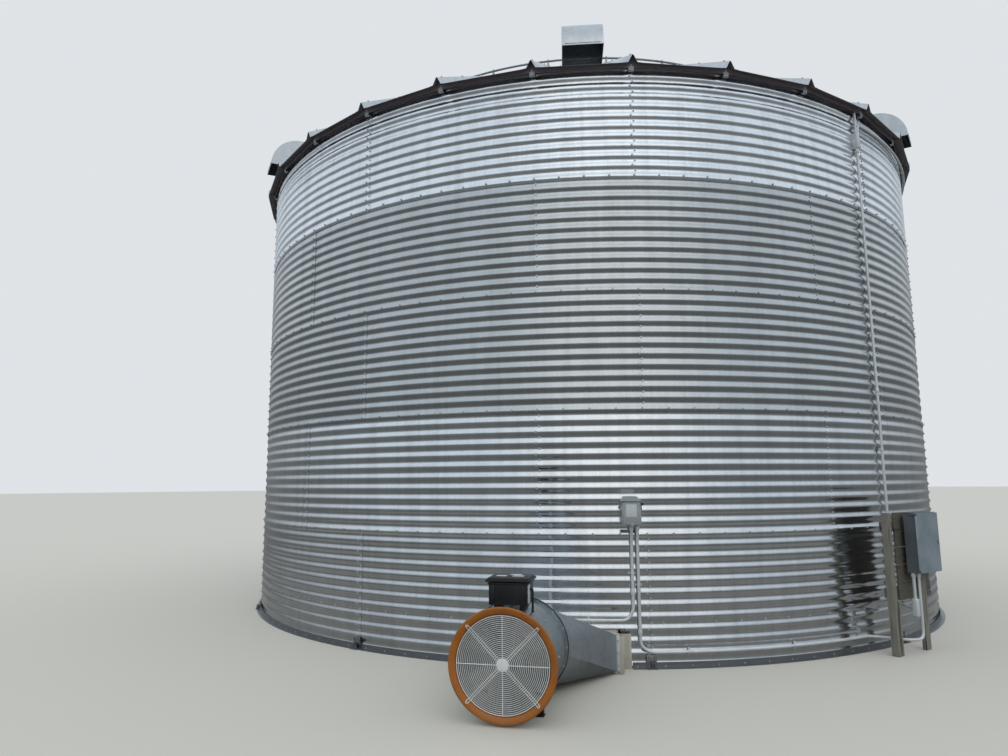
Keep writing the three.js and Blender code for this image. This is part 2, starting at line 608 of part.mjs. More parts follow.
function standPoint(side, out, z) {
  return new THREE.Vector3(side, -out, z).applyAxisAngle(new THREE.Vector3(0, 0, 1), radians(STAND_AZIMUTH));
}

// A strap that holds a pipe on the wall
function strap(azimuth, z, upright) {
  const across = upright ? 30 : 11;
  const along = upright ? 11 : 30;
  return toSolid(box(-across, across, WALL_INNER, PIPE_LAY, z - along, z + along).rotateZ(radians(azimuth)))
    .subtract(wallBody());
}

// A run of pipe round the wall between two azimuths, a corner every 3 degrees
function alongWall(from, to, z, out = PIPE_LAY) {
  const steps = Math.max(1, Math.round(Math.abs(to - from) / 3));
  return Array.from({ length: steps + 1 }, (_, i) => aroundAxis(from + ((to - from) * i) / steps, out, z));
}

function addPipes() {
  const boxFoot = BOX_BOTTOM - GAP;
  const boxLine = WALL_OUTER + 40;
  const toFan = (side, out, z) => new THREE.Vector3(side + FAN_SIDE, -out, z)
    .applyAxisAngle(new THREE.Vector3(0, 0, 1), radians(FAN_AZIMUTH));
  const fanPipe = toSolid(pipe([
    aroundAxis(5.35, boxLine, boxFoot), aroundAxis(5.35, boxLine, boxFoot - 60),
    aroundAxis(5.35, PIPE_LAY, boxFoot - 150), aroundAxis(5.35, PIPE_LAY, 480),
    aroundAxis(4.7, PIPE_LAY, 402), ...alongWall(3, -3.6, 402),
    toFan(43, 4755, 425), toFan(43, 5655, 850), toFan(43, BOX_BACK - GAP, 850),
  ], PIPE_RADIUS, 60));
  place(silo, 'fan_pipe', join([fanPipe, strap(5.35, 800, true), strap(0.5, 402, false)]), galvanised);
  const panelPipe = toSolid(pipe([
    aroundAxis(6.0, boxLine, boxFoot), aroundAxis(6.0, boxLine, boxFoot - 60),
    aroundAxis(6.0, PIPE_LAY, boxFoot - 150), aroundAxis(6.0, PIPE_LAY, 190),
    aroundAxis(7.0, PIPE_LAY, 135), ...alongWall(9, 35.4, 135),
    standPoint(-80, 4930, 135), standPoint(70, 4945, 135), standPoint(70, 4945, CABINET_BOTTOM - GAP),
  ], PIPE_RADIUS, 70));
  place(silo, 'panel_pipe', join([panelPipe, strap(6.0, 700, true), strap(11.3, 135, false),
    strap(24.1, 135, false)]), galvanised);
  const riser = 41.45;
  const fitting = toSolid(box(-25, 25, WALL_INNER, WALL_OUTER + 45, 5130, 5310).rotateZ(radians(riser)))
    .subtract(wallBody());
  const drop = toSolid(pipe([
    aroundAxis(riser, PIPE_LAY, 5545), aroundAxis(riser, PIPE_LAY, 400), standPoint(10, 4930, 400),
    standPoint(10, 4930, CABINET_BOTTOM - GAP),
  ], PIPE_RADIUS, 60));
  const branch = toSolid(pipe([
    aroundAxis(riser + 0.3, PIPE_LAY + 10, 5300), aroundAxis(riser + 0.3, PIPE_LAY + 10, 5410),
    ...alongWall(riser + 2, 80, 5410, PIPE_LAY + 10), aroundAxis(81, PIPE_LAY + 10, 5545),
  ], PIPE_RADIUS, 60));
  const straps = [4300, 3100, 1900, 700].map((z) => strap(riser, z, true));
  place(silo, 'eave_pipe', join([drop, fitting, branch, ...straps]), galvanised);
}

// Panel stand
function addStand() {
  const frame = frameAt(STAND_AZIMUTH);
  const left = -266;
  const post = toSolid(box(left, -216, POST_FRONT - LEFT_POST_DEPTH, POST_FRONT, 0, BOARD_TOP));
  const stake = toSolid(box(-217, -165, POST_FRONT - 50, POST_FRONT - 5, 0, BOARD_FOOT + 5));
  place(frame, 'left_post', post.add(stake), weatheredWood);
  const face = POST_FRONT - POST_THICKNESS;
  place(frame, 'right_post', box(215, 295, face, POST_FRONT, 0, BOARD_TOP), weatheredWood);
  const front = face - GAP;
  const back = front - BOARD_THICKNESS;
  const boards = toSolid(box(BOARD_LEFT, BOARD_RIGHT, back, front, BOARD_FOOT, BOARD_TOP));
  const rails = RAIL_TOPS.map((top) => toSolid(box(left, BOARD_RIGHT, back + 2 - BOARD_THICKNESS, back + 2,
    top - RAIL_HEIGHT, top)));
  place(frame, 'stand_boards', join([boards, ...rails]), weatheredWood);
  addCabinet(frame);
}

function addCabinet(frame) {
  const back = POST_FRONT + GAP;
  const front = back + CABINET_DEPTH;
  const sheet = CABINET_SHEET;
  const shell = toSolid(box(CABINET_LEFT, CABINET_RIGHT, back, front, CABINET_BOTTOM, CABINET_TOP));
  const inside = toSolid(box(CABINET_LEFT + sheet, CABINET_RIGHT - sheet, back + sheet, front + 10,
    CABINET_BOTTOM + sheet, CABINET_TOP - sheet));
  const hingeX = CABINET_LEFT - HINGE_RADIUS - 2;
  const hingeOut = front + DOOR_CLEARANCE + DOOR_THICKNESS / 2;
  const doorBottom = CABINET_BOTTOM + 2;
  const doorTop = CABINET_TOP - 2;
  const lugs = [];
  for (const [low, high, tipLow, tipHigh] of [
    [doorBottom, doorBottom + 16, doorBottom + 10, doorBottom + 34],
    [doorTop - 16, doorTop, doorTop - 34, doorTop - 10],
  ]) {
    lugs.push(toSolid(box(hingeX - HINGE_RADIUS, CABINET_LEFT + 4, front - 40, front - 2, low, high)));
    lugs.push(toSolid(box(hingeX - HINGE_RADIUS, hingeX + HINGE_RADIUS, front - 10, hingeOut + HINGE_RADIUS,
      low, high)));
    lugs.push(toSolid(new THREE.CylinderGeometry(HINGE_PIN_RADIUS, HINGE_PIN_RADIUS, tipHigh - tipLow, 12)
      .rotateX(Math.PI / 2).translate(hingeX, -hingeOut, (tipLow + tipHigh) / 2)));
  }
  place(frame, 'cabinet_shell', join([shell.subtract(inside), ...lugs]), greyPaint);
  const barrelLow = doorBottom + 22;
  const barrelHigh = doorTop - 22;
  const leaf = toSolid(box(CABINET_LEFT + 6, CABINET_RIGHT + 3, front + DOOR_CLEARANCE,
    front + DOOR_CLEARANCE + DOOR_THICKNESS, doorBottom, doorTop));
  const edge = toSolid(box(hingeX, CABINET_LEFT + 8, hingeOut - 4, hingeOut + HINGE_RADIUS, barrelLow, barrelHigh));
  const barrel = toSolid(new THREE.CylinderGeometry(HINGE_RADIUS, HINGE_RADIUS, barrelHigh - barrelLow, 16)
    .rotateX(Math.PI / 2).translate(hingeX, -hingeOut, (barrelLow + barrelHigh) / 2));
  const bore = toSolid(new THREE.CylinderGeometry(HINGE_PIN_RADIUS + 0.5, HINGE_PIN_RADIUS + 0.5, 700, 12)
    .rotateX(Math.PI / 2).translate(hingeX, -hingeOut, (barrelLow + barrelHigh) / 2));
  const latch = toSolid(box(CABINET_RIGHT - 34, CABINET_RIGHT - 18, front + 12, front + 34, 985, 1025));
  place(frame, 'cabinet_door', join([leaf, edge, barrel, latch]).subtract(bore), greyPaint);
}

addWall();
addBaseAngle();
addRoof();
addEaveRing();
addPeak();
addRoofBrace();
addVents();
addFan();
addDisconnect();
addPipes();
addStand();

export default silo;
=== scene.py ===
"""Grain silo: the looks of a corrugated, galvanised grain bin with its roof, fan and electrics.

Metres, +Z up, the bin's axis at the origin. Azimuths are in degrees from -Y, the side with the fan,
towards +X. A piece is modelled at azimuth 0, with "out" along -Y, and is then turned to its place.
"""

import math

import bpy
from mathutils import Matrix, Vector


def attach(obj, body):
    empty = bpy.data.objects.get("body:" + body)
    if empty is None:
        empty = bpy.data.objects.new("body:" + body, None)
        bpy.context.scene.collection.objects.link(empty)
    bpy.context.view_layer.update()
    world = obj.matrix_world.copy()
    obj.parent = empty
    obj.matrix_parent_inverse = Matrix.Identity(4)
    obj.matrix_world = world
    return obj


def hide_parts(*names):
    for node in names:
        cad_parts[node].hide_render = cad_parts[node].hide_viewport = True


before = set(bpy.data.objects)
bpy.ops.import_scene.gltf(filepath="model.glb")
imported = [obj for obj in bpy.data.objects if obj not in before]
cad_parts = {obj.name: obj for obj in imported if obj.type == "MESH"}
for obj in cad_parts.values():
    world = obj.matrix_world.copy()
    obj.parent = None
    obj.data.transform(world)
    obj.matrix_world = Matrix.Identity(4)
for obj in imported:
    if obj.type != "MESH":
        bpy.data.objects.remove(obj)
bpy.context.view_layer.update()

# The camera, as fitted to the wall's seams; its angles are in degrees
CAMERA_PLACE = (0.0, -11.074, 1.604)
CAMERA_YAW = -6.049  # positive towards +X
CAMERA_PITCH = 8.255
CAMERA_ROLL = -0.416
CAMERA_LENS = 25.42
GLOW = (0.17, -0.82, 0.545)  # where the sky is brightest

# The wall
WALL_RADIUS = 4.572
RING_COUNT = 5
RING_HEIGHT = 1.1176
WALL_TOP = RING_COUNT * RING_HEIGHT
SHEET_COUNT = 10
SHEET_ANGLE = 36.0
SHEET_THICKNESS = 0.0015
SHEET_LAP = 0.022  # how far a ring hangs over the one below
LAP_STEP = 0.005
FLARE_TOP = 0.030  # where a sheet begins to step out over the ring below
FLARE_RUN = 0.020
SEAM_AZIMUTH = 7.16  # the upright seams of the first, third and fifth ring
EVEN_SEAM_SHIFT = 12.0  # those of the second and fourth lie one roof sheet to the left
CORRUGATIONS = 11
CORRUGATION_PITCH = RING_HEIGHT / CORRUGATIONS
CORRUGATION_DEPTH = 0.0127
CREST = WALL_RADIUS + CORRUGATION_DEPTH / 2
VALLEY = WALL_RADIUS - CORRUGATION_DEPTH / 2
CREST_HEIGHT = 0.016  # the lowest crest over a ring's foot, where its bolts are
RING_BOLTS = 120

# The roof
ROOF_SHEETS = 30
ROOF_SHEET_ANGLE = 12.0
HALF_SHEET = math.radians(ROOF_SHEET_ANGLE / 2)
SECTORS = 6  # each has five roof sheets and a vent
SECTOR_ANGLE = 60.0
ROOF_SLOPE = math.tan(math.radians(30))
ROOF_THICKNESS = 0.003
EAVE_RADIUS = 4.700
EAVE_TOP = 5.570
PEAK_RADIUS = 0.450
RIB_HEIGHT = 0.080
RIB_FALL = 0.040  # how much lower a rib is at the peak
VENT_AZIMUTH = SEAM_AZIMUTH - ROOF_SHEET_ANGLE / 2
VENT_SHIFT = 0.2  # a vent stands this little to the right of its sheet's middle
VENT_HALF_WIDTH = 0.200
VENT_MOUTH = 5.748
VENT_LIP = 4.730
VENT_HEEL = 4.040
VENT_TOP = 6.125
HOOP_RADIUS = 3.260
HOOP_PIPE = 0.012
HOOP_LIFT = 0.058  # its middle over the ribs' crests

# The fan
FAN_AZIMUTH = -7.0  # where its axis points
FAN_SIDE = 0.205  # how far to the right of the bin's axis it passes
FAN_AXIS = 0.391
FAN_SIDES = 96  # facets of the fan's round pieces
BELL_FRONT = 6.178
GUARD_SEAT = 6.158
HOUSING_FRONT = 6.109
HOUSING_BACK = 5.555
HOUSING_RADIUS = 0.335
HOUSING_BORE = 0.323
FLANGE_RADIUS = 0.362
ROTOR_FRONT = 6.050
DUCT_END = 4.700
DUCT_ROUND_RADIUS = 0.325
DUCT_HALF_WIDTH = 0.642
DUCT_BOTTOM = 0.024
DUCT_TOP = 0.318
COLLAR_HALF_WIDTH = 0.700
SKIRT_HALF_WIDTH = 0.745
SKIRT_TOP = 0.290
SKIRT_RADIUS = 4.5965

# The boxes and conduits
WALL_OUTER = 4.584  # where what stands on the wall is seated
BOX_AZIMUTH = 5.15
BOX_BOTTOM = 1.215
BOX_TOP = 1.424  # up to its gabled hood
BOX_LINE = WALL_OUTER + 0.040  # how far out the conduits leave it
PIPE_RADIUS = 0.014
PIPE_LAY = WALL_OUTER + PIPE_RADIUS + 0.003
FAN_PIPE_AZIMUTH = 5.35
FAN_PIPE_LEVEL = 0.402
PANEL_PIPE_AZIMUTH = 6.0
PANEL_PIPE_LEVEL = 0.135
RISER_AZIMUTH = 41.45
BRANCH_LEVEL = 5.410

# The stand; sideways is to the right of its azimuth
STAND_AZIMUTH = 38.4
POST_FRONT = 4.890
POST_LEFT = -0.266
POST_TOP = 1.285
BOARD_COUNT = 5
BOARD_FOOT = 0.475
BOARD_HEIGHT = (POST_TOP - BOARD_FOOT) / BOARD_COUNT
BOARD_LEFT = -0.086
BOARD_RIGHT = 0.450
BOARD_FACE = POST_FRONT - 0.045
CABINET = (-0.014, 0.350, 0.730, 1.280)  # left, right, bottom and top
CABINET_BACK = 4.8903
CABINET_FRONT = CABINET_BACK + 0.110
HINGE = (-0.023, 5.0123)  # sideways and out


# Camera and light

def add_camera():
    data = bpy.data.cameras.new("camera")
    data.lens = CAMERA_LENS
    data.clip_end = 500
    camera = bpy.data.objects.new("camera", data)
    bpy.context.scene.collection.objects.link(camera)
    heading = Matrix.Rotation(math.radians(-CAMERA_YAW), 4, "Z")
    tilt = Matrix.Rotation(math.radians(90 + CAMERA_PITCH), 4, "X")
    roll = Matrix.Rotation(math.radians(CAMERA_ROLL), 4, "Z")
    camera.matrix_world = Matrix.Translation(CAMERA_PLACE) @ heading @ tilt @ roll
    bpy.context.scene.camera = camera


def add_light(name, place, target, size, power, tint):
    data = bpy.data.lights.new(name, "AREA")
    data.shape = "RECTANGLE"
    data.size, data.size_y = size
    data.energy = power
    data.color = tint
    light = bpy.data.objects.new(name, data)
    bpy.context.scene.collection.objects.link(light)
    heading = (Vector(target) - Vector(place)).to_track_quat("-Z", "Y")
    light.matrix_world = Matrix.Translation(place) @ heading.to_matrix().to_4x4()
    light.visible_glossy = False  # the sky's glow is what the metal shows


# Node building

def node(tree, kind, inputs=None, **settings):
    """Adds a node. An input is a value, or the socket that it is linked to."""
    made = tree.nodes.new(kind)
    for name, value in settings.items():
        setattr(made, name, value)
    for key, value in (inputs or {}).items():
        if isinstance(value, bpy.types.NodeSocket):
            tree.links.new(value, made.inputs[key])
        else:
            made.inputs[key].default_value = value
    return made


def calculate(tree, operation, first, second=0.0):
    return node(tree, "ShaderNodeMath", {0: first, 1: second}, operation=operation).outputs[0]


def noise(tree, vector, scale, detail, **more):
    inputs = {"Vector": vector, "Scale": scale, "Detail": detail, **more}
    return node(tree, "ShaderNodeTexNoise", inputs).outputs[0]


def rescale(tree, value, low, high, new_low=0.0, new_high=1.0):
    """Maps a value from one range to another, and holds it within the new one."""
    made = node(tree, "ShaderNodeMapRange", {"Value": value, "From Min": low, "From Max": high,
                                            "To Min": new_low, "To Max": new_high})
    return made.outputs["Result"]


def blend_colours(tree, factor, first, second):
    made = node(tree, "ShaderNodeMix", data_type="RGBA", blend_type="MIX")
    for socket, value in zip((made.inputs[0], made.inputs[6], made.inputs[7]), (factor, first, second)):
        if isinstance(value, bpy.types.NodeSocket):
            tree.links.new(value, socket)
        elif socket.type == "RGBA":
            socket.default_value = (*value, 1.0)
        else:
            socket.default_value = value
    return made.outputs[2]


def start_group(name, inputs, outputs):
    """A shader node group with named sockets; each is a name, its kind and, for an input, its value."""
    tree = bpy.data.node_groups.new(name, "ShaderNodeTree")
    for label, kind, value in inputs:
        socket = tree.interface.new_socket(label, in_out="INPUT", socket_type="NodeSocket" + kind)
        socket.default_value = value
    for label, kind in outputs:
        tree.interface.new_socket(label, in_out="OUTPUT", socket_type="NodeSocket" + kind)
    return tree, tree.nodes.new("NodeGroupInput"), tree.nodes.new("NodeGroupOutput")


def use_group(tree, group, **values):
    made = tree.nodes.new("ShaderNodeGroup")
    made.node_tree = group
    for label, value in values.items():
        made.inputs[label.replace("_", " ")].default_value = value
    return made.outputs


def object_place(tree, scale=(1, 1, 1), turn=(0, 0, 0)):
    place = node(tree, "ShaderNodeTexCoord").outputs["Object"]
    return node(tree, "ShaderNodeMapping", {"Vector": place, "Rotation": turn, "Scale": scale}).outputs[0]


# Shared effects

def zinc_spangle_group():
    """The crystal flowers of a zinc coat: a tone for each flower, and a fine unevenness."""
    tree, given, made = start_group("zinc_spangle", [("Scale", "Float", 60.0)],
                                    [("Tone", "Float"), ("Height", "Float")])
    place = object_place(tree)
    warp = node(tree, "ShaderNodeTexNoise", {"Vector": place, "Scale": 25.0, "Detail": 2.0}).outputs["Color"]
    bent = node(tree, "ShaderNodeVectorMath", {0: warp, 1: (0.02, 0.02, 0.02)}, operation="MULTIPLY")
    moved = node(tree, "ShaderNodeVectorMath", {0: place, 1: bent.outputs[0]}, operation="ADD")
    scale = given.outputs["Scale"]
    flowers = node(tree, "ShaderNodeTexVoronoi", {"Vector": moved.outputs[0], "Scale": scale})
    grey = node(tree, "ShaderNodeSeparateColor", {"Color": flowers.outputs["Color"]}).outputs[0]
    tree.links.new(grey, made.inputs["Tone"])
    tree.links.new(flowers.outputs["Distance"], made.inputs["Height"])
    return tree


def weather_group():
    """Runs of dirt down an upright face, and cloudy patches."""
    tree, given, made = start_group("weather", [("Run Width", "Float", 9.0), ("Patch Scale", "Float", 1.2)],
                                    [("Runs", "Float"), ("Patches", "Float")])
    drawn = object_place(tree, scale=(1, 1, 0.07))
    runs = noise(tree, drawn, given.outputs["Run Width"], 5.0, Roughness=0.65)
    patches = noise(tree, object_place(tree), given.outputs["Patch Scale"], 4.0)
    tree.links.new(rescale(tree, runs, 0.42, 0.72), made.inputs["Runs"])
    tree.links.new(rescale(tree, patches, 0.35, 0.68), made.inputs["Patches"])
    return tree


def sheet_tone_group():
    """One random tone for each sheet of a ring, told apart by azimuth and height."""
    tree, given, made = start_group("sheet_tone", [("Seam", "Float", 0.0)], [("Tone", "Float")])
    parts = node(tree, "ShaderNodeSeparateXYZ", {"Vector": object_place(tree)}).outputs
    angle = calculate(tree, "ARCTAN2", parts[0], calculate(tree, "MULTIPLY", parts[1], -1.0))
    turned = calculate(tree, "SUBTRACT", angle, given.outputs["Seam"])
    index = calculate(tree, "FLOOR", calculate(tree, "DIVIDE", turned, math.radians(SHEET_ANGLE)))
    height = calculate(tree, "ADD", parts[2], SHEET_LAP)
    level = calculate(tree, "FLOOR", calculate(tree, "DIVIDE", height, RING_HEIGHT))
    key = node(tree, "ShaderNodeCombineXYZ", {0: index, 1: level, 2: 3.7}).outputs[0]
    tone = node(tree, "ShaderNodeTexWhiteNoise", {"Vector": key}, noise_dimensions="3D").outputs["Value"]
    tree.links.new(tone, made.inputs["Tone"])
    return tree


def wood_group():
    """Grey weathered timber: grain along the third axis of its vector, with darker checks."""
    tree, given, made = start_group("old_timber", [("Vector", "Vector", (0, 0, 0)), ("Grain", "Float", 60.0)],
                                    [("Tone", "Float"), ("Checks", "Float")])
    drawn = given.outputs["Vector"]
    lines = noise(tree, drawn, given.outputs["Grain"], 6.0, Roughness=0.7, Distortion=0.6)
    splits = noise(tree, drawn, 28.0, 3.0)
    tree.links.new(rescale(tree, lines, 0.3, 0.7), made.inputs["Tone"])
    tree.links.new(rescale(tree, splits, 0.60, 0.68), made.inputs["Checks"])
    return tree


SPANGLE = zinc_spangle_group()
WEATHER = weather_group()
SHEET_TONE = sheet_tone_group()
OLD_TIMBER = wood_group()


# Materials

def start_material(name, **sockets):
    material = bpy.data.materials.new(name)
    material.use_nodes = True
    tree = material.node_tree
    shader = tree.nodes["Principled BSDF"]
    for label, value in sockets.items():
        shader.inputs[label.replace("_", " ")].default_value = value
    return material, tree, shader


def bump(tree, shader, height, strength, distance):
    made = node(tree, "ShaderNodeBump", {"Height": height, "Strength": strength, "Distance": distance})
    tree.links.new(made.outputs[0], shader.inputs["Normal"])


def galvanised(name, light, dark, roughness, spangle=70.0, seam=0.0, sheet_share=0.0, wave=0.0,
               metallic=1.0):
    """Zinc coated sheet: faint flowers, a tone for each sheet, runs of dirt, dull patches and waves."""
    material, tree, shader = start_material(name, Metallic=metallic)
    flowers = use_group(tree, SPANGLE, Scale=spangle)
    weather = use_group(tree, WEATHER)
    tone = rescale(tree, flowers["Tone"], 0.0, 1.0, 0.35, 0.65)
    if sheet_share:
        sheets = use_group(tree, SHEET_TONE, Seam=math.radians(seam))
        own = rescale(tree, sheets["Tone"], 0.0, 1.0, -sheet_share, sheet_share)
        tone = calculate(tree, "ADD", tone, own)
    colour = blend_colours(tree, tone, dark, light)
    dirt = calculate(tree, "MULTIPLY", weather["Runs"], 0.25)
    tree.links.new(blend_colours(tree, dirt, colour, ZINC_GRIME), shader.inputs["Base Color"])
    dull = rescale(tree, weather["Patches"], 0.0, 1.0, roughness - 0.03, roughness + 0.05)
    tree.links.new(dull, shader.inputs["Roughness"])
    if wave:
        bump(tree, shader, noise(tree, object_place(tree), 3.0, 2.0), 1.0, wave)
    else:
        bump(tree, shader, flowers["Height"], 0.05, 0.002)
    return material


def painted(name, light, dark, roughness, grime, wear=0.25):
    """Satin paint with cloudy fading and dust in runs."""
    material, tree, shader = start_material(name)
    weather = use_group(tree, WEATHER, Run_Width=30.0, Patch_Scale=6.0)
    colour = blend_colours(tree, weather["Patches"], dark, light)
    dirt = calculate(tree, "MULTIPLY", weather["Runs"], wear)
    tree.links.new(blend_colours(tree, dirt, colour, grime), shader.inputs["Base Color"])
    dull = rescale(tree, weather["Patches"], 0.0, 1.0, roughness, roughness + 0.12)
    tree.links.new(dull, shader.inputs["Roughness"])
    bump(tree, shader, noise(tree, object_place(tree), 400.0, 2.0), 0.15, 0.0004)
    return material


def timber(name, light, dark, along):
    """Weathered timber whose grain runs up, or sideways in the stand's frame."""
    material, tree, shader = start_material(name, Roughness=0.85)
    if along == "up":
        drawn = object_place(tree, scale=(1, 1, 0.05))
    else:
        drawn = object_place(tree, scale=(0.05, 1, 1), turn=(0, 0, -math.radians(STAND_AZIMUTH)))
    grain = use_group(tree, OLD_TIMBER)
    tree.links.new(drawn, grain["Tone"].node.inputs["Vector"])
    weather = use_group(tree, WEATHER, Run_Width=12.0, Patch_Scale=5.0)
    damp = calculate(tree, "MULTIPLY", weather["Patches"], 0.35)
    colour = blend_colours(tree, damp, blend_colours(tree, grain["Tone"], dark, light), (0.19, 0.18, 0.13))
    colour = blend_colours(tree, grain["Checks"], colour, (0.05, 0.045, 0.04))
    tree.links.new(colour, shader.inputs["Base Color"])
    bump(tree, shader, grain["Tone"], 0.5, 0.003)
    return material


def plain_concrete():
    material, tree, shader = start_material("cast_concrete", Roughness=0.9)
    coarse = noise(tree, object_place(tree), 3.0, 8.0)
    colour = blend_colours(tree, coarse, (0.42, 0.38, 0.31), (0.58, 0.54, 0.46))
    tree.links.new(colour, shader.inputs["Base Color"])
    bump(tree, shader, coarse, 0.3, 0.01)
    return material


def ring_seam(ring):
    """The azimuth of an upright seam of a ring, counted from 0 at the ground."""
    return SEAM_AZIMUTH - EVEN_SEAM_SHIFT * (ring % 2)


ZINC_GRIME = (0.20, 0.20, 0.18)
RING_FINISH = [  # each ring's light and dark tone and its roughness, from the ground up
    ((0.66, 0.68, 0.70), (0.50, 0.52, 0.54), 0.13),
    ((0.72, 0.75, 0.77), (0.56, 0.58, 0.60), 0.13),
    ((0.52, 0.54, 0.55), (0.38, 0.40, 0.41), 0.20),
    ((0.50, 0.52, 0.53), (0.37, 0.39, 0.40), 0.20),
    ((0.78, 0.81, 0.84), (0.62, 0.65, 0.68), 0.20),
]
RING_ZINC = [galvanised(f"zinc_ring_{ring + 1}", *tones, seam=ring_seam(ring), sheet_share=0.25, wave=0.003)
             for ring, tones in enumerate(RING_FINISH)]
ROOF_ZINC = galvanised("zinc_roof", (0.60, 0.63, 0.65), (0.42, 0.44, 0.46), 0.34, 50.0)
# Dark painted shade for the insides of the vent hoods and for their screens
ROOF_SHADE = galvanised("zinc_vent_inside_painted_shade", (0.20, 0.19, 0.20), (0.12, 0.11, 0.12), 0.55, metallic=0.6)
# The roof's underside: the zinc darkened and tinted purple-brown, as painted shade under the overhang
OVERHANG_PAINTED_SHADE = galvanised("zinc_overhang_painted_shade", (0.24, 0.215, 0.22), (0.17, 0.15, 0.155), 0.60, metallic=0.0)
# The eave plates: a purple-brown tone that copies the shaded band under the eave, painted shade
EAVE_SHADE = galvanised("eave_plates_painted_shade", (0.43, 0.37, 0.405), (0.35, 0.30, 0.33), 0.60, metallic=0.0)
DARK_ZINC = galvanised("zinc_aged", (0.34, 0.35, 0.37), (0.22, 0.23, 0.24), 0.40)
BRIGHT_ZINC = galvanised("zinc_fastener", (0.70, 0.72, 0.74), (0.48, 0.50, 0.52), 0.35, 400.0, metallic=0.7)
CLIP_ZINC = galvanised("zinc_clip", (0.80, 0.81, 0.82), (0.62, 0.63, 0.64), 0.50, 250.0, metallic=0.0)
PIPE_ZINC = galvanised("zinc_pipe", (0.82, 0.84, 0.85), (0.68, 0.70, 0.71), 0.40, 250.0, metallic=0.3)
FAN_ZINC = galvanised("zinc_fan", (0.50, 0.55, 0.58), (0.26, 0.30, 0.33), 0.34, 45.0, metallic=0.85)
DUCT_ZINC = galvanised("zinc_duct", (0.42, 0.45, 0.47), (0.25, 0.28, 0.30), 0.42, 30.0, metallic=0.65)
RIM_RUST = painted("rusty_rim", (0.085, 0.060, 0.050), (0.040, 0.030, 0.028), 0.70, (0.12, 0.08, 0.05))
WIRE_ZINC = painted("bright_wire", (0.92, 0.92, 0.90), (0.84, 0.84, 0.81), 0.40, (0.60, 0.57, 0.50), 0.15)
ORANGE = painted("orange_paint", (0.465, 0.150, 0.014), (0.355, 0.107, 0.010), 0.48, (0.25, 0.15, 0.070))
CREAM = painted("cream_paint", (0.63, 0.59, 0.50), (0.48, 0.45, 0.37), 0.55, (0.27, 0.24, 0.19), 0.5)
BLACK = painted("black_plastic", (0.010, 0.010, 0.012), (0.004, 0.004, 0.005), 0.38,
                (0.045, 0.042, 0.038), 0.12)
MOTOR = painted("motor_paint", (0.14, 0.16, 0.18), (0.07, 0.08, 0.09), 0.50, (0.20, 0.17, 0.13), 0.5)
GREY_ENAMEL = painted("grey_enamel", (0.300, 0.352, 0.395), (0.228, 0.270, 0.305), 0.42, (0.18, 0.18, 0.17))
# The case: the door's grey enamel darkened well below it, as painted shade for its sides in shadow
CASE_ENAMEL_PAINTED_SHADE = painted("grey_enamel_case_painted_shade", (0.125, 0.140, 0.155), (0.092, 0.104, 0.116), 0.52,
                      (0.09, 0.09, 0.085))
BOX_ENAMEL = painted("pale_enamel", (0.43, 0.465, 0.48), (0.34, 0.37, 0.385), 0.42, (0.24, 0.24, 0.22))
PALE_PLATE = painted("blank_plate", (0.74, 0.76, 0.76), (0.60, 0.62, 0.62), 0.45, (0.34, 0.33, 0.30))
# The boards and rails: the posts' weathered timber darkened to about half, as painted shade from the cabinet
# and posts in front
SHADED_BOARD_WOOD = timber("old_boards_painted_shade", (0.170, 0.150, 0.125), (0.085, 0.075, 0.063), "sideways")
PALE_WOOD = timber("old_post", (0.33, 0.31, 0.265), (0.165, 0.155, 0.132), "up")
CONCRETE = plain_concrete()


# Modelling

def deselect():
    bpy.ops.object.select_all(action="DESELECT")


def pick(*pieces):
    """Selects these objects only; the last is the active one."""
    deselect()
    for piece in pieces:
        piece.select_set(True)
    bpy.context.view_layer.objects.active = pieces[-1]


def open_mesh(piece, mode="FACE"):
    pick(piece)
    bpy.ops.object.mode_set(mode="EDIT")
    bpy.ops.mesh.select_mode(type=mode)
    bpy.ops.mesh.select_all(action="SELECT")


def choose_faces(piece, test):
    """Opens a mesh with only the faces chosen that pass the test."""
    open_mesh(piece)
    bpy.ops.mesh.select_all(action="DESELECT")
    close_mesh()
    for face in piece.data.polygons:
        face.select = test(face)
    bpy.ops.object.mode_set(mode="EDIT")


def close_mesh():
    bpy.ops.object.mode_set(mode="OBJECT")
    return bpy.context.object


def apply_place(piece):
    pick(piece)
    bpy.ops.object.transform_apply(location=True, rotation=True, scale=True)
    return piece


def turn(piece, azimuth, move=(0, 0, 0)):
    """Turns a piece about the bin's axis, after a move, and keeps its object at the origin."""
    piece.matrix_world = Matrix.Rotation(math.radians(azimuth), 4, "Z") @ Matrix.Translation(move)
    return apply_place(piece)


def modify(piece, kind, **settings):
    pick(piece)
    modifier = piece.modifiers.new(kind.lower(), kind)
    for name, value in settings.items():
        setattr(modifier, name, value)
    bpy.ops.object.modifier_apply(modifier=modifier.name)
    return piece


def thicken(piece, thickness, offset=-1, **settings):
    """Gives a sheet its thickness: inwards, outwards (1) or both ways (0)."""
    return modify(piece, "SOLIDIFY", thickness=thickness, offset=offset, **settings)


def soften(piece, width, segments=2, **settings):
    """Rounds a piece's sharper edges."""
    return modify(piece, "BEVEL", width=width, segments=segments, limit_method="ANGLE", **settings)


def copy(piece):
    pick(piece)
    bpy.ops.object.duplicate()
    return bpy.context.object


def merge(pieces):
    if len(pieces) > 1:
        pick(*pieces)
        bpy.ops.object.join()
    return pieces[-1]


def shade(piece, angle=35):
    pick(piece)
    bpy.ops.object.shade_smooth_by_angle(angle=math.radians(angle))
    return piece


def clean(piece):
    """Merges doubled points and turns every face outwards."""
    open_mesh(piece, "VERT")
    bpy.ops.mesh.remove_doubles(threshold=0.00005)
    bpy.ops.mesh.normals_make_consistent(inside=False)
    return close_mesh()


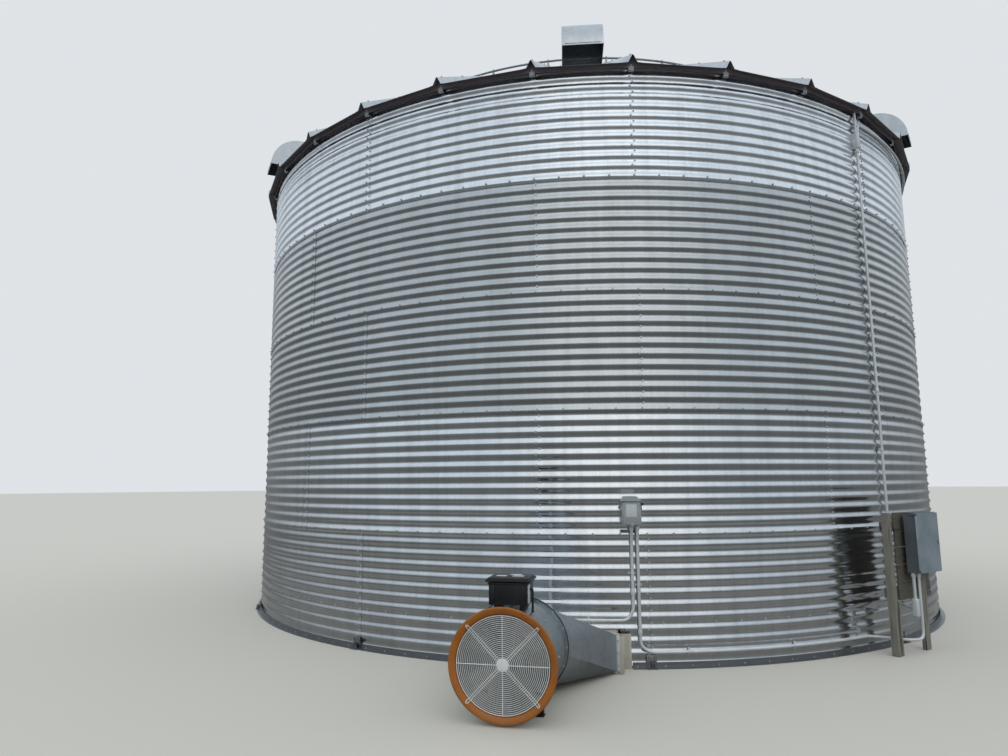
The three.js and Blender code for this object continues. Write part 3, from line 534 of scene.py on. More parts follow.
def around(piece, count, step):
    """Copies of a piece about the bin's axis, joined in one mesh."""
    turner = bpy.data.objects.new("turner", None)
    bpy.context.scene.collection.objects.link(turner)
    turner.rotation_euler.z = math.radians(step)
    bpy.context.view_layer.update()
    modify(piece, "ARRAY", count=count, use_relative_offset=False, use_object_offset=True,
           offset_object=turner)
    bpy.data.objects.remove(turner)
    return piece


def stacked(piece, count, step):
    return modify(piece, "ARRAY", count=count, use_relative_offset=False, use_constant_offset=True,
                  constant_offset_displace=step)


def extrude(value):
    """Extrudes what is chosen of the open mesh."""
    bpy.ops.mesh.extrude_region_move(TRANSFORM_OT_translate={"value": value})


def wire(points):
    """A line of edges, drawn by extruding one point from place to place."""
    deselect()
    bpy.ops.mesh.primitive_plane_add(size=0.01)
    bpy.ops.object.mode_set(mode="EDIT")
    bpy.ops.mesh.select_mode(type="VERT")
    bpy.ops.mesh.select_all(action="SELECT")
    bpy.ops.mesh.merge(type="CENTER")
    bpy.ops.transform.translate(value=points[0])
    for start, end in zip(points, points[1:]):
        extrude(Vector(end) - Vector(start))
    return close_mesh()


def spun(points, steps, **settings):
    """A line of edges turned about an axis."""
    open_mesh(wire(points), "VERT")
    bpy.ops.mesh.spin(steps=steps, **settings)
    return clean(close_mesh())


def turned_shell(outline, steps, angle=360.0):
    """A section of (radius, height) points spun about the bin's axis from azimuth 0."""
    points = [(0, -radius, height) for radius, height in outline]
    return spun(points, steps, angle=-math.radians(angle), center=(0, 0, 0), axis=(0, 0, 1))


def turned_on_fan(outline, steps=FAN_SIDES):
    """A section of (radius, distance out) points spun about the fan's axis."""
    points = [(radius, -out, FAN_AXIS) for radius, out in outline]
    return spun(points, steps, angle=math.radians(360), center=(0, 0, FAN_AXIS), axis=(0, 1, 0))


def bridged(lines, cuts=0):
    """The surface between two lines of edges."""
    open_mesh(merge(lines), "EDGE")
    bpy.ops.mesh.bridge_edge_loops(number_cuts=cuts, interpolation="LINEAR")
    return clean(close_mesh())


def block(left, right, near, far, bottom, top, bevel=0.0, segments=2):
    """A box between two distances out, with its edges rounded."""
    deselect()
    middle = ((left + right) / 2, -(near + far) / 2, (bottom + top) / 2)
    bpy.ops.mesh.primitive_cube_add(size=1, location=middle, scale=(right - left, far - near, top - bottom))
    piece = apply_place(bpy.context.object)
    if bevel:
        soften(piece, bevel, segments)
    return shade(piece)


def side_block(side, inner, outer, *rest):
    """A box on the left (-1) or the right (1), between two distances from the middle."""
    left, right = sorted((side * inner, side * outer))
    return block(left, right, *rest)


def drum(radius, depth, place, along="Z", sides=24, bevel=0.0):
    """A round or many-sided bar along one axis, its middle at a place."""
    deselect()
    turns = {"X": (0, math.radians(90), 0), "Y": (math.radians(90), 0, 0), "Z": (0, 0, 0)}
    bpy.ops.mesh.primitive_cylinder_add(vertices=sides, radius=radius, depth=depth, location=place,
                                        rotation=turns[along])
    piece = apply_place(bpy.context.object)
    if bevel:
        soften(piece, bevel)
    return shade(piece)


def rod(points, radius, sides):
    """A round bar or pipe through points, made from a curve."""
    data = bpy.data.curves.new("rod", "CURVE")
    data.dimensions = "3D"
    data.bevel_depth = radius
    data.bevel_resolution = sides // 2 - 2
    data.use_fill_caps = True
    data.twist_mode = "MINIMUM"
    line = data.splines.new("POLY")
    line.points.add(len(points) - 1)
    for knot, point in zip(line.points, points):
        knot.co = (*point, 1)
    made = bpy.data.objects.new("rod", data)
    bpy.context.scene.collection.objects.link(made)
    pick(made)
    bpy.ops.object.convert(target="MESH")
    return shade(clean(bpy.context.object), 50)


def sheet_strip(points, across, thickness):
    """A strip of sheet metal: a line of points drawn sideways, with its thickness."""
    open_mesh(wire(points), "VERT")
    extrude(across)
    return shade(thicken(clean(close_mesh()), thickness, 0))


def curve_points(start, first, second, end, steps):
    """Points of a Bezier curve, its start left out."""
    made = []
    for i in range(1, steps + 1):
        t = i / steps
        weights = ((1 - t) ** 3, 3 * t * (1 - t) ** 2, 3 * t * t * (1 - t), t ** 3)
        pulls = list(zip(weights, (start, first, second, end)))
        made.append(tuple(sum(weight * point[k] for weight, point in pulls) for k in (0, 1)))
    return made


def rounded(points, bend):
    """A route with its inner corners rounded, in fewer steps where it turns little."""
    spots = [Vector(p) for p in points]
    made = [spots[0]]
    for before, corner, after in zip(spots, spots[1:], spots[2:]):
        first, last = before - corner, after - corner
        turning = math.pi - first.angle(last)
        steps = 8 if turning > 1 else 4 if turning > 0.2 else 0
        if not steps:
            made.append(corner)
            continue
        reach = min(bend, first.length / 2, last.length / 2)
        start, end = corner + first.normalized() * reach, corner + last.normalized() * reach
        for i in range(steps + 1):
            t = i / steps
            made.append(start * (1 - t) ** 2 + corner * 2 * t * (1 - t) + end * t * t)
    return made + [spots[-1]]


def finish(piece, name, materials, nodes=(), body="bin"):
    """Names a piece, paints it, sets it on its body and hides the CAD nodes it stands for."""
    piece.name = name
    piece.data.name = name
    if not isinstance(materials, (list, tuple)):
        piece.data.materials.clear()
        materials = [materials]
    for material in materials:
        if material.name not in piece.data.materials:
            piece.data.materials.append(material)
    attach(piece, body)
    if nodes:
        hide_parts(*nodes)
    return piece


def repaint(name, material):
    """Gives a CAD node that keeps its shape a better finish."""
    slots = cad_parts[name].data.materials
    slots.clear()
    slots.append(material)


# Places

def spot(azimuth, out, z, side=0.0):
    """A point in the frame of an azimuth: outwards, up, and sideways to the right."""
    angle = math.radians(azimuth)
    return Vector((math.sin(angle) * out + math.cos(angle) * side,
                   math.sin(angle) * side - math.cos(angle) * out, z))


def stand_spot(side, out, z):
    return spot(STAND_AZIMUTH, out, z, side)


def fan_spot(side, out, z):
    return spot(FAN_AZIMUTH, out, z, side + FAN_SIDE)


def at_fan(piece):
    """Sets a piece in the fan's frame."""
    return turn(piece, FAN_AZIMUTH, (FAN_SIDE, 0, 0))


def wall_azimuth(side):
    """Where the wall lies at a distance sideways from the fan's axis."""
    return FAN_AZIMUTH + math.degrees(math.asin((FAN_SIDE + side) / WALL_RADIUS))


def along_wall(start, end, z, out=PIPE_LAY):
    """Points along the wall from one azimuth to another."""
    steps = max(1, round(abs(end - start) / 1.5))
    return [spot(start + (end - start) * i / steps, out, z) for i in range(steps + 1)]


# Fasteners

def wall_bolt(out, z, size=0.0075, side=0.0, sides=10):
    """A hexagon bolt on its washer, on an upright face at a distance out."""
    washer = drum(size * 1.5, 0.002, (side, -out - 0.001, z), "Y", sides)
    head = drum(size, 0.006, (side, -out - 0.005, z), "Y", 6)
    return merge([washer, head])


def rim_bolt(radius, out, size):
    """A bolt straight over the fan's axis, its head towards the front."""
    return wall_bolt(out, FAN_AXIS + radius, size, sides=12)


# Wall

def corrugation(z):
    """The wall's radius at a height over its ring's foot."""
    phase = 2 * math.pi * (z - CREST_HEIGHT) / CORRUGATION_PITCH
    return WALL_RADIUS + CORRUGATION_DEPTH / 2 * math.cos(phase)


def sheet_section(lap):
    """The upright section of a sheet over its ring's foot; its edge may lap over the ring below."""
    steps = 8 * CORRUGATIONS
    heights = [i / steps * RING_HEIGHT for i in range(steps + 1)]
    if not lap:
        return [(corrugation(z), z) for z in heights]
    flares = [(min(1.0, max(0.0, (FLARE_TOP - z) / FLARE_RUN)), z)
              for z in (-SHEET_LAP, -SHEET_LAP / 2, *heights)]
    return [(corrugation(z) + LAP_STEP * flare, z) for flare, z in flares]


def wall_sheet(lap):
    """One sheet from azimuth 0 to a little past the next seam."""
    return shade(thicken(turned_shell(sheet_section(lap), 12, SHEET_ANGLE + 0.5), SHEET_THICKNESS), 60)


def add_wall():
    """Five rings of ten sheets; every second sheet of a ring lies over its neighbours."""
    lapped = wall_sheet(True)
    lowest = wall_sheet(False)
    over = 1 + 0.002 / WALL_RADIUS
    for ring in range(RING_COUNT):
        sheets = []
        for i in range(SHEET_COUNT):
            sheet = copy(lapped if ring else lowest)
            if i % 2:
                sheet.scale = (over, over, 1)
                apply_place(sheet)
            sheets.append(turn(sheet, ring_seam(ring) + (i - 1) * SHEET_ANGLE, (0, 0, ring * RING_HEIGHT)))
        if ring == 0:
            entrance = cut_entrance(sheets.pop(0))
            finish(entrance, "entrance_sheet", RING_ZINC[0], ["wall_sheet_entrance"])
        finish(merge(sheets), f"ring_sheets_{ring + 1}", RING_ZINC[ring],
               [f"wall_ring_{ring + 1}"])
    bpy.data.objects.remove(lapped)
    bpy.data.objects.remove(lowest)


def cut_entrance(sheet):
    """Opens the lowest sheet where the fan's duct goes through."""
    cutter = at_fan(block(-DUCT_HALF_WIDTH, DUCT_HALF_WIDTH, 4.2, 4.9, -0.1, DUCT_TOP))
    modify(sheet, "BOOLEAN", operation="DIFFERENCE", object=cutter, solver="EXACT")
    bpy.data.objects.remove(cutter)
    return sheet


def add_wall_bolts():
    """The bolts along the laps of the rings, and those on both sides of each upright seam."""
    crest, valley = CREST + 0.002, VALLEY + 0.002
    step = 360 / RING_BOLTS
    places = [(crest + LAP_STEP, ring * RING_HEIGHT + CREST_HEIGHT, 0) for ring in range(1, RING_COUNT)]
    places.append((crest, CREST_HEIGHT + 0.001, step / 2))
    places.append((valley, CREST_HEIGHT + 3.5 * CORRUGATION_PITCH, step / 2))
    rows = [turn(around(wall_bolt(out, z), RING_BOLTS, step), SEAM_AZIMUTH + shift)
            for out, z, shift in places]
    finish(merge(rows), "ring_bolts", BRIGHT_ZINC)
    columns = []
    aside = 0.18
    rise = (0, 0, CORRUGATION_PITCH)
    for ring in range(RING_COUNT):
        foot = ring * RING_HEIGHT + CREST_HEIGHT
        left = stacked(wall_bolt(crest, foot + CORRUGATION_PITCH), CORRUGATIONS - 1, rise)
        right = stacked(wall_bolt(valley, foot + CORRUGATION_PITCH / 2), CORRUGATIONS, rise)
        both = merge([turn(left, -aside), turn(right, aside)])
        columns.append(turn(around(both, SHEET_COUNT, SHEET_ANGLE), ring_seam(ring)))
    finish(merge(columns), "seam_bolts", BRIGHT_ZINC)


def add_base():
    """The angle at the wall's foot with its anchor brackets."""
    inner = CREST + 0.004
    start = wall_azimuth(SKIRT_HALF_WIDTH + 0.012)
    end = wall_azimuth(-SKIRT_HALF_WIDTH - 0.012) + 360
    section = [(inner, 0.050), (inner, 0.001), (inner + 0.045, 0.001)]
    ring = turn(shade(thicken(turned_shell(section, 114, end - start), 0.005, 1)), start)
    half, near = 0.045, inner + 0.001
    anchor = (0.022, -inner - 0.040)
    bracket = [
        block(-half, half, near, inner + 0.009, 0.0, 0.110, 0.002),
        block(-half, half, near, inner + 0.060, 0.0, 0.008, 0.002),
        block(-0.004, 0.004, inner + 0.005, inner + 0.050, 0.004, 0.060, 0.001),
        drum(0.010, 0.050, (*anchor, 0.025), "Z", 12),
        drum(0.017, 0.014, (*anchor, 0.016), "Z", 6),
    ]
    bracket += [wall_bolt(inner + 0.009, z, side=side) for side in (-0.025, 0.025) for z in (0.05, 0.09)]
    brackets = turn(around(merge(bracket), SHEET_COUNT, SHEET_ANGLE), SEAM_AZIMUTH)
    finish(merge([ring, brackets]), "base_angle_and_brackets", DARK_ZINC, ["base_angle"])
    repaint("floor_slab", CONCRETE)


# Roof

def roof_share(out):
    """How far up the roof a distance out lies: 0 at the eave, 1 at the peak."""
    return (EAVE_RADIUS - out) / (EAVE_RADIUS - PEAK_RADIUS)


def rib_crest(radius):
    """The height of a rib's crest at a distance from the bin's axis."""
    return EAVE_TOP + (EAVE_RADIUS - radius) * ROOF_SLOPE + RIB_HEIGHT - RIB_FALL * roof_share(radius)


def sheet_plane(out):
    """The height of the flat of a roof sheet at a distance out along its middle."""
    return EAVE_TOP + (EAVE_RADIUS - out / math.cos(HALF_SHEET)) * ROOF_SLOPE


def roof_section(out):
    """Points across one roof sheet, from the crest of one rib to the next, at a distance out."""
    share = roof_share(out)
    height = RIB_HEIGHT - RIB_FALL * share
    foot = 0.046 - 0.024 * share  # half the width of a rib at its foot
    crest = 0.007 - 0.001 * share  # and at its crest
    half = out * math.tan(HALF_SHEET)
    flat = sheet_plane(out)
    fillet = (half - foot) * 0.12
    right = [(half - foot - fillet, 0.0), (half - foot, 0.004), (half - crest, height), (half, height)]
    left = [(-side, up) for side, up in reversed(right)]
    return [(side, -out, flat + up) for side, up in left + right]


def roof_sheet():
    """One roof sheet from the peak to the eave, with half a rib along each edge."""
    ends = [wire(roof_section(radius * math.cos(HALF_SHEET))) for radius in (PEAK_RADIUS, EAVE_RADIUS)]
    piece = bridged(ends, 15)
    if piece.data.polygons[0].normal.z < 0:
        open_mesh(piece)
        bpy.ops.mesh.flip_normals()
        close_mesh()
    piece.data.materials.append(ROOF_ZINC)
    # the inner shell, the underside, takes the overhang's painted shade
    piece.data.materials.append(OVERHANG_PAINTED_SHADE)
    return shade(thicken(piece, ROOF_THICKNESS, material_offset=1), 30)


def roof_bolt_line():
    """The bolts along the crest of one rib."""
    places = [0.75 + i * 0.48 for i in range(9)]
    return merge([drum(0.011, 0.010, (0, -out, rib_crest(out) + 0.004), "Z", 6) for out in places])


def add_roof():
    sheet = roof_sheet()
    for sector in range(SECTORS):
        middle = VENT_AZIMUTH + sector * SECTOR_ANGLE
        sheets = [turn(copy(sheet), middle + i * ROOF_SHEET_ANGLE) for i in (-2, -1, 0, 1, 2)]
        finish(merge(sheets), f"roof_sheets_{sector + 1}", [ROOF_ZINC, OVERHANG_PAINTED_SHADE],
               [f"roof_sector_{sector + 1}"])
    bpy.data.objects.remove(sheet)
    lines = turn(around(roof_bolt_line(), ROOF_SHEETS, ROOF_SHEET_ANGLE), SEAM_AZIMUTH)
    finish(lines, "roof_bolts", BRIGHT_ZINC)


def vent_hood():
    """A hood whose curved back rises from its sheet and turns over to a mouth above the eave."""
    heel, shoulder = (VENT_HEEL, sheet_plane(VENT_HEEL) + 0.002), (VENT_HEEL, 6.010)
    crown = (4.350, VENT_TOP)
    outline = [heel, shoulder]
    outline += curve_points(shoulder, (VENT_HEEL + 0.04, 6.080), (4.200, VENT_TOP), crown, 8)
    outline += curve_points(crown, (4.590, VENT_TOP), (VENT_LIP, 5.930), (VENT_LIP, VENT_MOUTH), 14)
    outline.append(((EAVE_RADIUS - (VENT_MOUTH - EAVE_TOP) / ROOF_SLOPE) * math.cos(HALF_SHEET), VENT_MOUTH))
    hood = wire([(-VENT_HALF_WIDTH, -out, z) for out, z in outline])
    open_mesh(hood, "VERT")
    bpy.ops.mesh.edge_face_add()
    bpy.ops.mesh.select_mode(type="FACE")
    extrude((2 * VENT_HALF_WIDTH, 0, 0))
    close_mesh()
    clean(hood)
    choose_faces(hood, lambda face: abs(face.normal.x) < 0.5 and face.normal.z < -0.5)
    bpy.ops.mesh.delete(type="FACE")
    close_mesh()
    thicken(hood, ROOF_THICKNESS, material_offset=1)
    hood.data.materials.append(ROOF_ZINC)
    # the hood's inner face takes the dark painted shade
    hood.data.materials.append(ROOF_SHADE)
    return shade(hood, 40)


def vent_trim():
    """The hem and bead of the lip, and the flanges on the roof with their screws."""
    half, inside = VENT_HALF_WIDTH, VENT_LIP - 0.003
    flange, rear = 0.035, VENT_HEEL - 0.035
    parts = [
        block(-half - 0.001, half + 0.001, inside, VENT_LIP + 0.0012, VENT_MOUTH - 0.002, VENT_MOUTH + 0.010,
              0.0015),
        block(-0.172, 0.172, inside, VENT_LIP + 0.0030, VENT_MOUTH + 0.016, VENT_MOUTH + 0.024, 0.001),
    ]
    for side in (-1, 1):
        line = [(side * half, -out, sheet_plane(out) + 0.004) for out in (rear, 4.440)]
        parts.append(sheet_strip(line, (side * flange, 0, 0), 0.002))
        for i in range(5):
            out = VENT_HEEL + 0.02 + i * 0.09
            parts.append(drum(0.007, 0.006, (side * (half + 0.018), -out, sheet_plane(out) + 0.009), "Z", 6))
    heel = [(-half, -out, sheet_plane(out) + 0.004) for out in (rear, VENT_HEEL)]
    parts.append(sheet_strip(heel, (2 * half, 0, 0), 0.002))
    return merge(parts)


def vent_screen():
    """The wire mesh across the mouth."""
    edge, level = VENT_HALF_WIDTH - 0.004, VENT_MOUTH + 0.012
    lines = [[(side, -4.44 - i * 0.035, level) for side in (-edge, edge)] for i in range(9)]
    lines += [[(-0.18 + i * 0.03, -out, level) for out in (4.425, 4.726)] for i in range(13)]
    return merge([rod(line, 0.0012, 4) for line in lines])


def add_vents():
    hood, trim, screen = vent_hood(), vent_trim(), vent_screen()
    for i in range(SECTORS):
        azimuth = VENT_AZIMUTH + VENT_SHIFT + SECTOR_ANGLE * i
        finish(turn(copy(hood), azimuth), f"vent_hood_{i + 1}", [ROOF_ZINC, ROOF_SHADE],
               [f"roof_vent_{i + 1}"])
        finish(turn(copy(trim), azimuth), f"vent_trim_{i + 1}", ROOF_ZINC)
        # the screens wear the same dark painted shade
        finish(turn(copy(screen), azimuth), f"vent_screen_{i + 1}", ROOF_SHADE)
    for piece in (hood, trim, screen):
        bpy.data.objects.remove(piece)


def add_hoop():
    """A pipe round the roof that stands in a clamp on each rib, with a sleeve where its lengths meet."""
    foot = rib_crest(HOOP_RADIUS)
    level = foot + HOOP_LIFT
    angles = [i * math.pi / 6 for i in range(13)]
    section = [(HOOP_RADIUS + HOOP_PIPE * math.cos(a), level + HOOP_PIPE * math.sin(a)) for a in angles]
    hoop = shade(turned_shell(section, 120), 60)
    clamp = merge([
        block(-0.009, 0.009, HOOP_RADIUS - 0.012, HOOP_RADIUS + 0.012, foot - 0.006, level - 0.006, 0.001),
        drum(0.016, 0.018, (0, -HOOP_RADIUS, level), "X", 20, 0.001),
        drum(0.006, 0.008, (0, -HOOP_RADIUS, level + 0.018), "Z", 6),
    ])
    clamps = turn(around(clamp, ROOF_SHEETS, ROOF_SHEET_ANGLE), SEAM_AZIMUTH)
    lengths = [spot(azimuth, HOOP_RADIUS, level) for azimuth in (-1.6, -0.8, 0, 0.8, 1.6)]
    sleeves = turn(around(rod(lengths, HOOP_PIPE + 0.003, 12), SECTORS, SECTOR_ANGLE), VENT_AZIMUTH)
    finish(merge([hoop, clamps, sleeves]), "roof_hoop_pipe", DARK_ZINC, ["roof_hoop"])


def add_peak():
    """The collar of the fill opening with its flashing and band, and the cap with its ridges and knob."""
    low = EAVE_TOP + (EAVE_RADIUS - PEAK_RADIUS) * ROOF_SLOPE
    seat = low + 0.042
    top = seat + 0.090
    collar = turned_shell([(0.440, low - 0.035), (0.440, seat), (0.504, seat - 0.020), (0.508, seat - 0.026),
                           (0.504, seat - 0.014), (0.447, seat + 0.008), (0.447, top)], 72)
    thicken(collar, ROOF_THICKNESS, 1)
    band = shade(turned_shell([(0.449, seat + 0.030), (0.453, seat + 0.034), (0.453, seat + 0.046),
                               (0.449, seat + 0.050)], 72))
    finish(shade(merge([band, collar])), "fill_opening_collar", ROOF_ZINC, ["fill_collar"])
    rim, middle = top + 0.030, top + 0.126
    cap = turned_shell([(0.464, top - 0.030), (0.466, top + 0.004), (0.462, top + 0.022), (0.440, rim),
                        (0.060, middle), (0.030, top + 0.129), (0.0005, top + 0.130)], 72)
    thicken(cap, ROOF_THICKNESS)
    ridge = block(-0.006, 0.006, 0.070, 0.430, 0, 0.010, 0.003)
    slope = Matrix.Rotation(math.atan2(middle - rim, 0.440 - 0.060), 4, "X")
    ridge.matrix_world = Matrix.Translation((0, 0, middle)) @ slope @ Matrix.Translation((0, 0.060, -0.002))
    ridges = around(apply_place(ridge), 12, 30.0)
    knob = drum(0.030, 0.006, (0, 0, middle), "Z", 24, 0.002)
    finish(shade(merge([ridges, knob, cap])), "fill_opening_cap", ROOF_ZINC, ["fill_cap"])


def eave_plate():
    """The plate that closes the wall's top under one roof sheet and its ribs."""
    section = roof_section(CREST + 0.001)
    foot = wire([(side, y, WALL_TOP - 0.018) for side, y, z in section])
    head = wire([(side, y, z - 0.005) for side, y, z in section])
    return shade(thicken(bridged([foot, head]), 0.002, 0), 30)


def add_eave():
    """The plates that close the top of the wall, coloured in painted shade, and the clips that hold the roof,
    one at each rib.
    """
    plates = turn(around(eave_plate(), ROOF_SHEETS, ROOF_SHEET_ANGLE), VENT_AZIMUTH)
    # the plates take the eave's purple-brown painted shade
    finish(plates, "eave_strip", EAVE_SHADE, ["eave_ring"])
    half, arm, low = 0.027, 0.009, WALL_TOP - 0.050
    near, far = WALL_RADIUS + 0.036, WALL_RADIUS + 0.040
    clip = merge([
        block(-half, half, near, far, low, WALL_TOP - 0.004, 0.001),
        block(-arm, arm, near, far, WALL_TOP - 0.006, EAVE_TOP + 0.036, 0.001),
        block(-half, half, near - 0.028, far, low, low + 0.004, 0.001),
        wall_bolt(far, WALL_TOP - 0.022, 0.010),
    ])
    clips = turn(around(clip, ROOF_SHEETS, ROOF_SHEET_ANGLE), SEAM_AZIMUTH)
    finish(clips, "eave_clips", CLIP_ZINC)


# Fan

def tilted(piece, angle):
    """Turns a piece about the fan's axis."""
    centre = Matrix.Translation((0, 0, FAN_AXIS))
    piece.matrix_world = centre @ Matrix.Rotation(math.radians(angle), 4, "Y") @ centre.inverted()
    return apply_place(piece)


def about_fan(piece, count):
    """Copies about the fan's axis, joined in one mesh."""
    return merge([piece] + [tilted(copy(piece), 360 * i / count) for i in range(1, count)])


def fan_piece(piece, name, material, nodes=(), body="bin"):
    return finish(at_fan(piece), name, material, nodes, body)


def add_bell():
    """The inlet ring: a throat with a ledge for the guard, flared out to a thin rim."""
    outline = [(0.330, 6.111), (0.324, 6.118), (0.323, 6.151), (0.326, GUARD_SEAT), (0.333, 6.1645),
               (0.345, 6.171), (0.358, 6.1755), (0.368, 6.177), (0.374, 6.175), (0.377, 6.170),
               (0.3765, 6.164), (0.374, 6.162)]
    bell = soften(thicken(turned_on_fan(outline), 0.003), 0.0008, 1, angle_limit=math.radians(50))
    fan_piece(shade(bell, 40), "inlet_ring", ORANGE, ["inlet_bell"])


def add_housing():
    """The short tube with a flange at each end, its welded seam, rusty rear rim, bolts and studs."""
    front, back = HOUSING_FRONT, HOUSING_BACK
    lip, rim = FLANGE_RADIUS - 0.014, FLANGE_RADIUS - 0.001
    outline = [(lip, front), (lip, front - 0.004), (0.337, front - 0.004), (HOUSING_RADIUS, front - 0.010),
               (HOUSING_RADIUS, back + 0.010), (0.337, back + 0.004), (rim, back + 0.004), (rim, back),
               (HOUSING_BORE, back), (HOUSING_BORE, front), (lip, front)]
    tube = shade(turned_on_fan(outline), 30)
    seam = block(-0.012, 0.012, back + 0.012, front - 0.012, FAN_AXIS + 0.3345, FAN_AXIS + 0.3375, 0.001)
    fan_piece(merge([tilted(seam, 62), tube]), "fan_tube", FAN_ZINC, ["fan_housing"])
    angles = [i * math.pi / 4 for i in range(9)]
    bead = [(rim - 0.003 + 0.0045 * math.cos(a), back + 0.004 + 0.0045 * math.sin(a)) for a in angles]
    fan_piece(shade(turned_on_fan(bead), 60), "fan_tube_rim", RIM_RUST)
    bolts = [about_fan(rim_bolt(0.3425, front - 0.002, 0.0045), 12),
             about_fan(rim_bolt(0.347, back + 0.004, 0.006), 16),
             about_fan(drum(0.009, 0.006, (0, -5.86, FAN_AXIS + 0.337), "Z", 6), 8)]
    fan_piece(merge(bolts), "fan_tube_bolts", BRIGHT_ZINC)


def add_guard():
    """A guard of wire rings on four single and four double spokes, with a disc in its middle."""
    plane = GUARD_SEAT + 0.0035
    over = plane + 0.002  # where the spokes lie
    inner, outer, count = 0.052, 0.3185, 22
    parts = []
    for i in range(count):
        deselect()
        bpy.ops.mesh.primitive_torus_add(major_radius=inner + i * (outer - inner) / (count - 1),
                                         minor_radius=0.0025 if i < count - 1 else 0.0034,
                                         major_segments=72, minor_segments=6,
                                         location=(0, -plane, FAN_AXIS), rotation=(math.radians(90), 0, 0))
        parts.append(shade(apply_place(bpy.context.object), 80))
    hub, end = 0.030, 0.318
    parts.append(about_fan(rod([(0, -over, FAN_AXIS + hub), (0, -over, FAN_AXIS + end)], 0.0029, 8), 4))
    half = 0.0085
    arm = [(-half, hub), (-half, end), (-half, 0.330)]
    arm += [(-half * math.cos(i * math.pi / 8), 0.343 + half * math.sin(i * math.pi / 8)) for i in range(9)]
    arm += [(half, 0.330), (half, end), (half, hub)]
    loop = [(side, -over - 0.37 * max(0.0, reach - end), FAN_AXIS + reach) for side, reach in arm]
    parts.append(about_fan(tilted(rod(loop, 0.0026, 8), 45), 4))
    disc = turned_on_fan([(0.0005, plane + 0.005), (0.030, plane + 0.004), (0.043, plane + 0.0025),
                          (0.045, plane - 0.001)], 32)
    parts.append(shade(thicken(disc, 0.002), 60))
    fan_piece(merge(parts), "wire_guard", WIRE_ZINC, ["fan_guard"])
    screws = tilted(about_fan(rim_bolt(0.343, BELL_FRONT - 0.007, 0.0045), 4), 45)
    fan_piece(screws, "guard_screws", BRIGHT_ZINC)


def add_rotor():
    """Six twisted and tapered blades on a hub with its bolts."""
    deselect()
    bpy.ops.mesh.primitive_grid_add(x_subdivisions=6, y_subdivisions=10, size=1, location=(0, 0, 0))
    blade = bpy.context.object
    blade.scale = (0.105, 0.225, 1)
    apply_place(blade)
    blade.matrix_world = Matrix.Rotation(math.radians(90), 4, "X")
    apply_place(blade)
    modify(blade, "SIMPLE_DEFORM", deform_method="TWIST", deform_axis="Z", angle=math.radians(-18))
    modify(blade, "SIMPLE_DEFORM", deform_method="TAPER", deform_axis="Z", factor=-0.18)
    soften(thicken(blade, 0.005, 0), 0.0015)
    middle = Matrix.Translation((0, 0.044 - ROTOR_FRONT, FAN_AXIS + 0.188))
    blade.matrix_world = middle @ Matrix.Rotation(math.radians(35), 4, "Z")
    blades = about_fan(shade(apply_place(blade), 40), 6)
    profile = ((0.0005, 0), (0.040, 0.001), (0.070, 0.010), (0.083, 0.024), (0.084, 0.086), (0.070, 0.088))
    hub = thicken(turned_on_fan([(radius, ROTOR_FRONT - depth) for radius, depth in profile], 48), 0.004)
    bolts = about_fan(rim_bolt(0.035, ROTOR_FRONT - 0.001, 0.005), 6)
    fan_piece(merge([blades, bolts, shade(hub, 40)]), "rotor_blades_and_hub", MOTOR,
              ["fan_rotor"], "rotor")


def add_motor():
    """The finned motor behind the rotor, on four struts."""
    front = ROTOR_FRONT - 0.094
    profile = ((0.015, -0.02), (0.030, 0), (0.070, 0.002), (0.098, 0.022), (0.100, 0.27), (0.086, 0.288),
               (0.0005, 0.290))
    body = shade(turned_on_fan([(radius, front - depth) for radius, depth in profile], 48), 40)
    fin = block(-0.0015, 0.0015, front - 0.25, front - 0.04, FAN_AXIS + 0.096, FAN_AXIS + 0.112)
    fins = about_fan(fin, 36)
    strut = block(-0.0035, 0.0035, front - 0.23, front - 0.09, FAN_AXIS + 0.100, FAN_AXIS + 0.3215, 0.001)
    struts = tilted(about_fan(strut, 4), 45)
    shaft = drum(0.0138, 0.09, (0, -front - 0.040, FAN_AXIS), "Y", 24)
    fan_piece(merge([fins, struts, shaft, body]), "motor_and_struts", MOTOR, ["fan_motor"])


def add_saddle():
    """Two legs on small feet under the fan, with a tie between them."""
    out = 5.874
    parts = [block(-0.190, 0.190, out - 0.008, out + 0.008, 0.020, 0.060, 0.002)]
    for side in (-0.200, 0.200):
        parts.append(block(side - 0.030, side + 0.030, out - 0.034, out + 0.034, 0.0, 0.007, 0.002))
        parts.append(block(side - 0.024, side + 0.024, out - 0.018, out + 0.018, 0.005, 0.148, 0.003))
        parts.append(drum(0.008, 0.008, (side, -out - 0.026, 0.011), "Z", 6))
    fan_piece(merge(parts), "saddle_and_feet", BLACK, ["fan_saddle"])


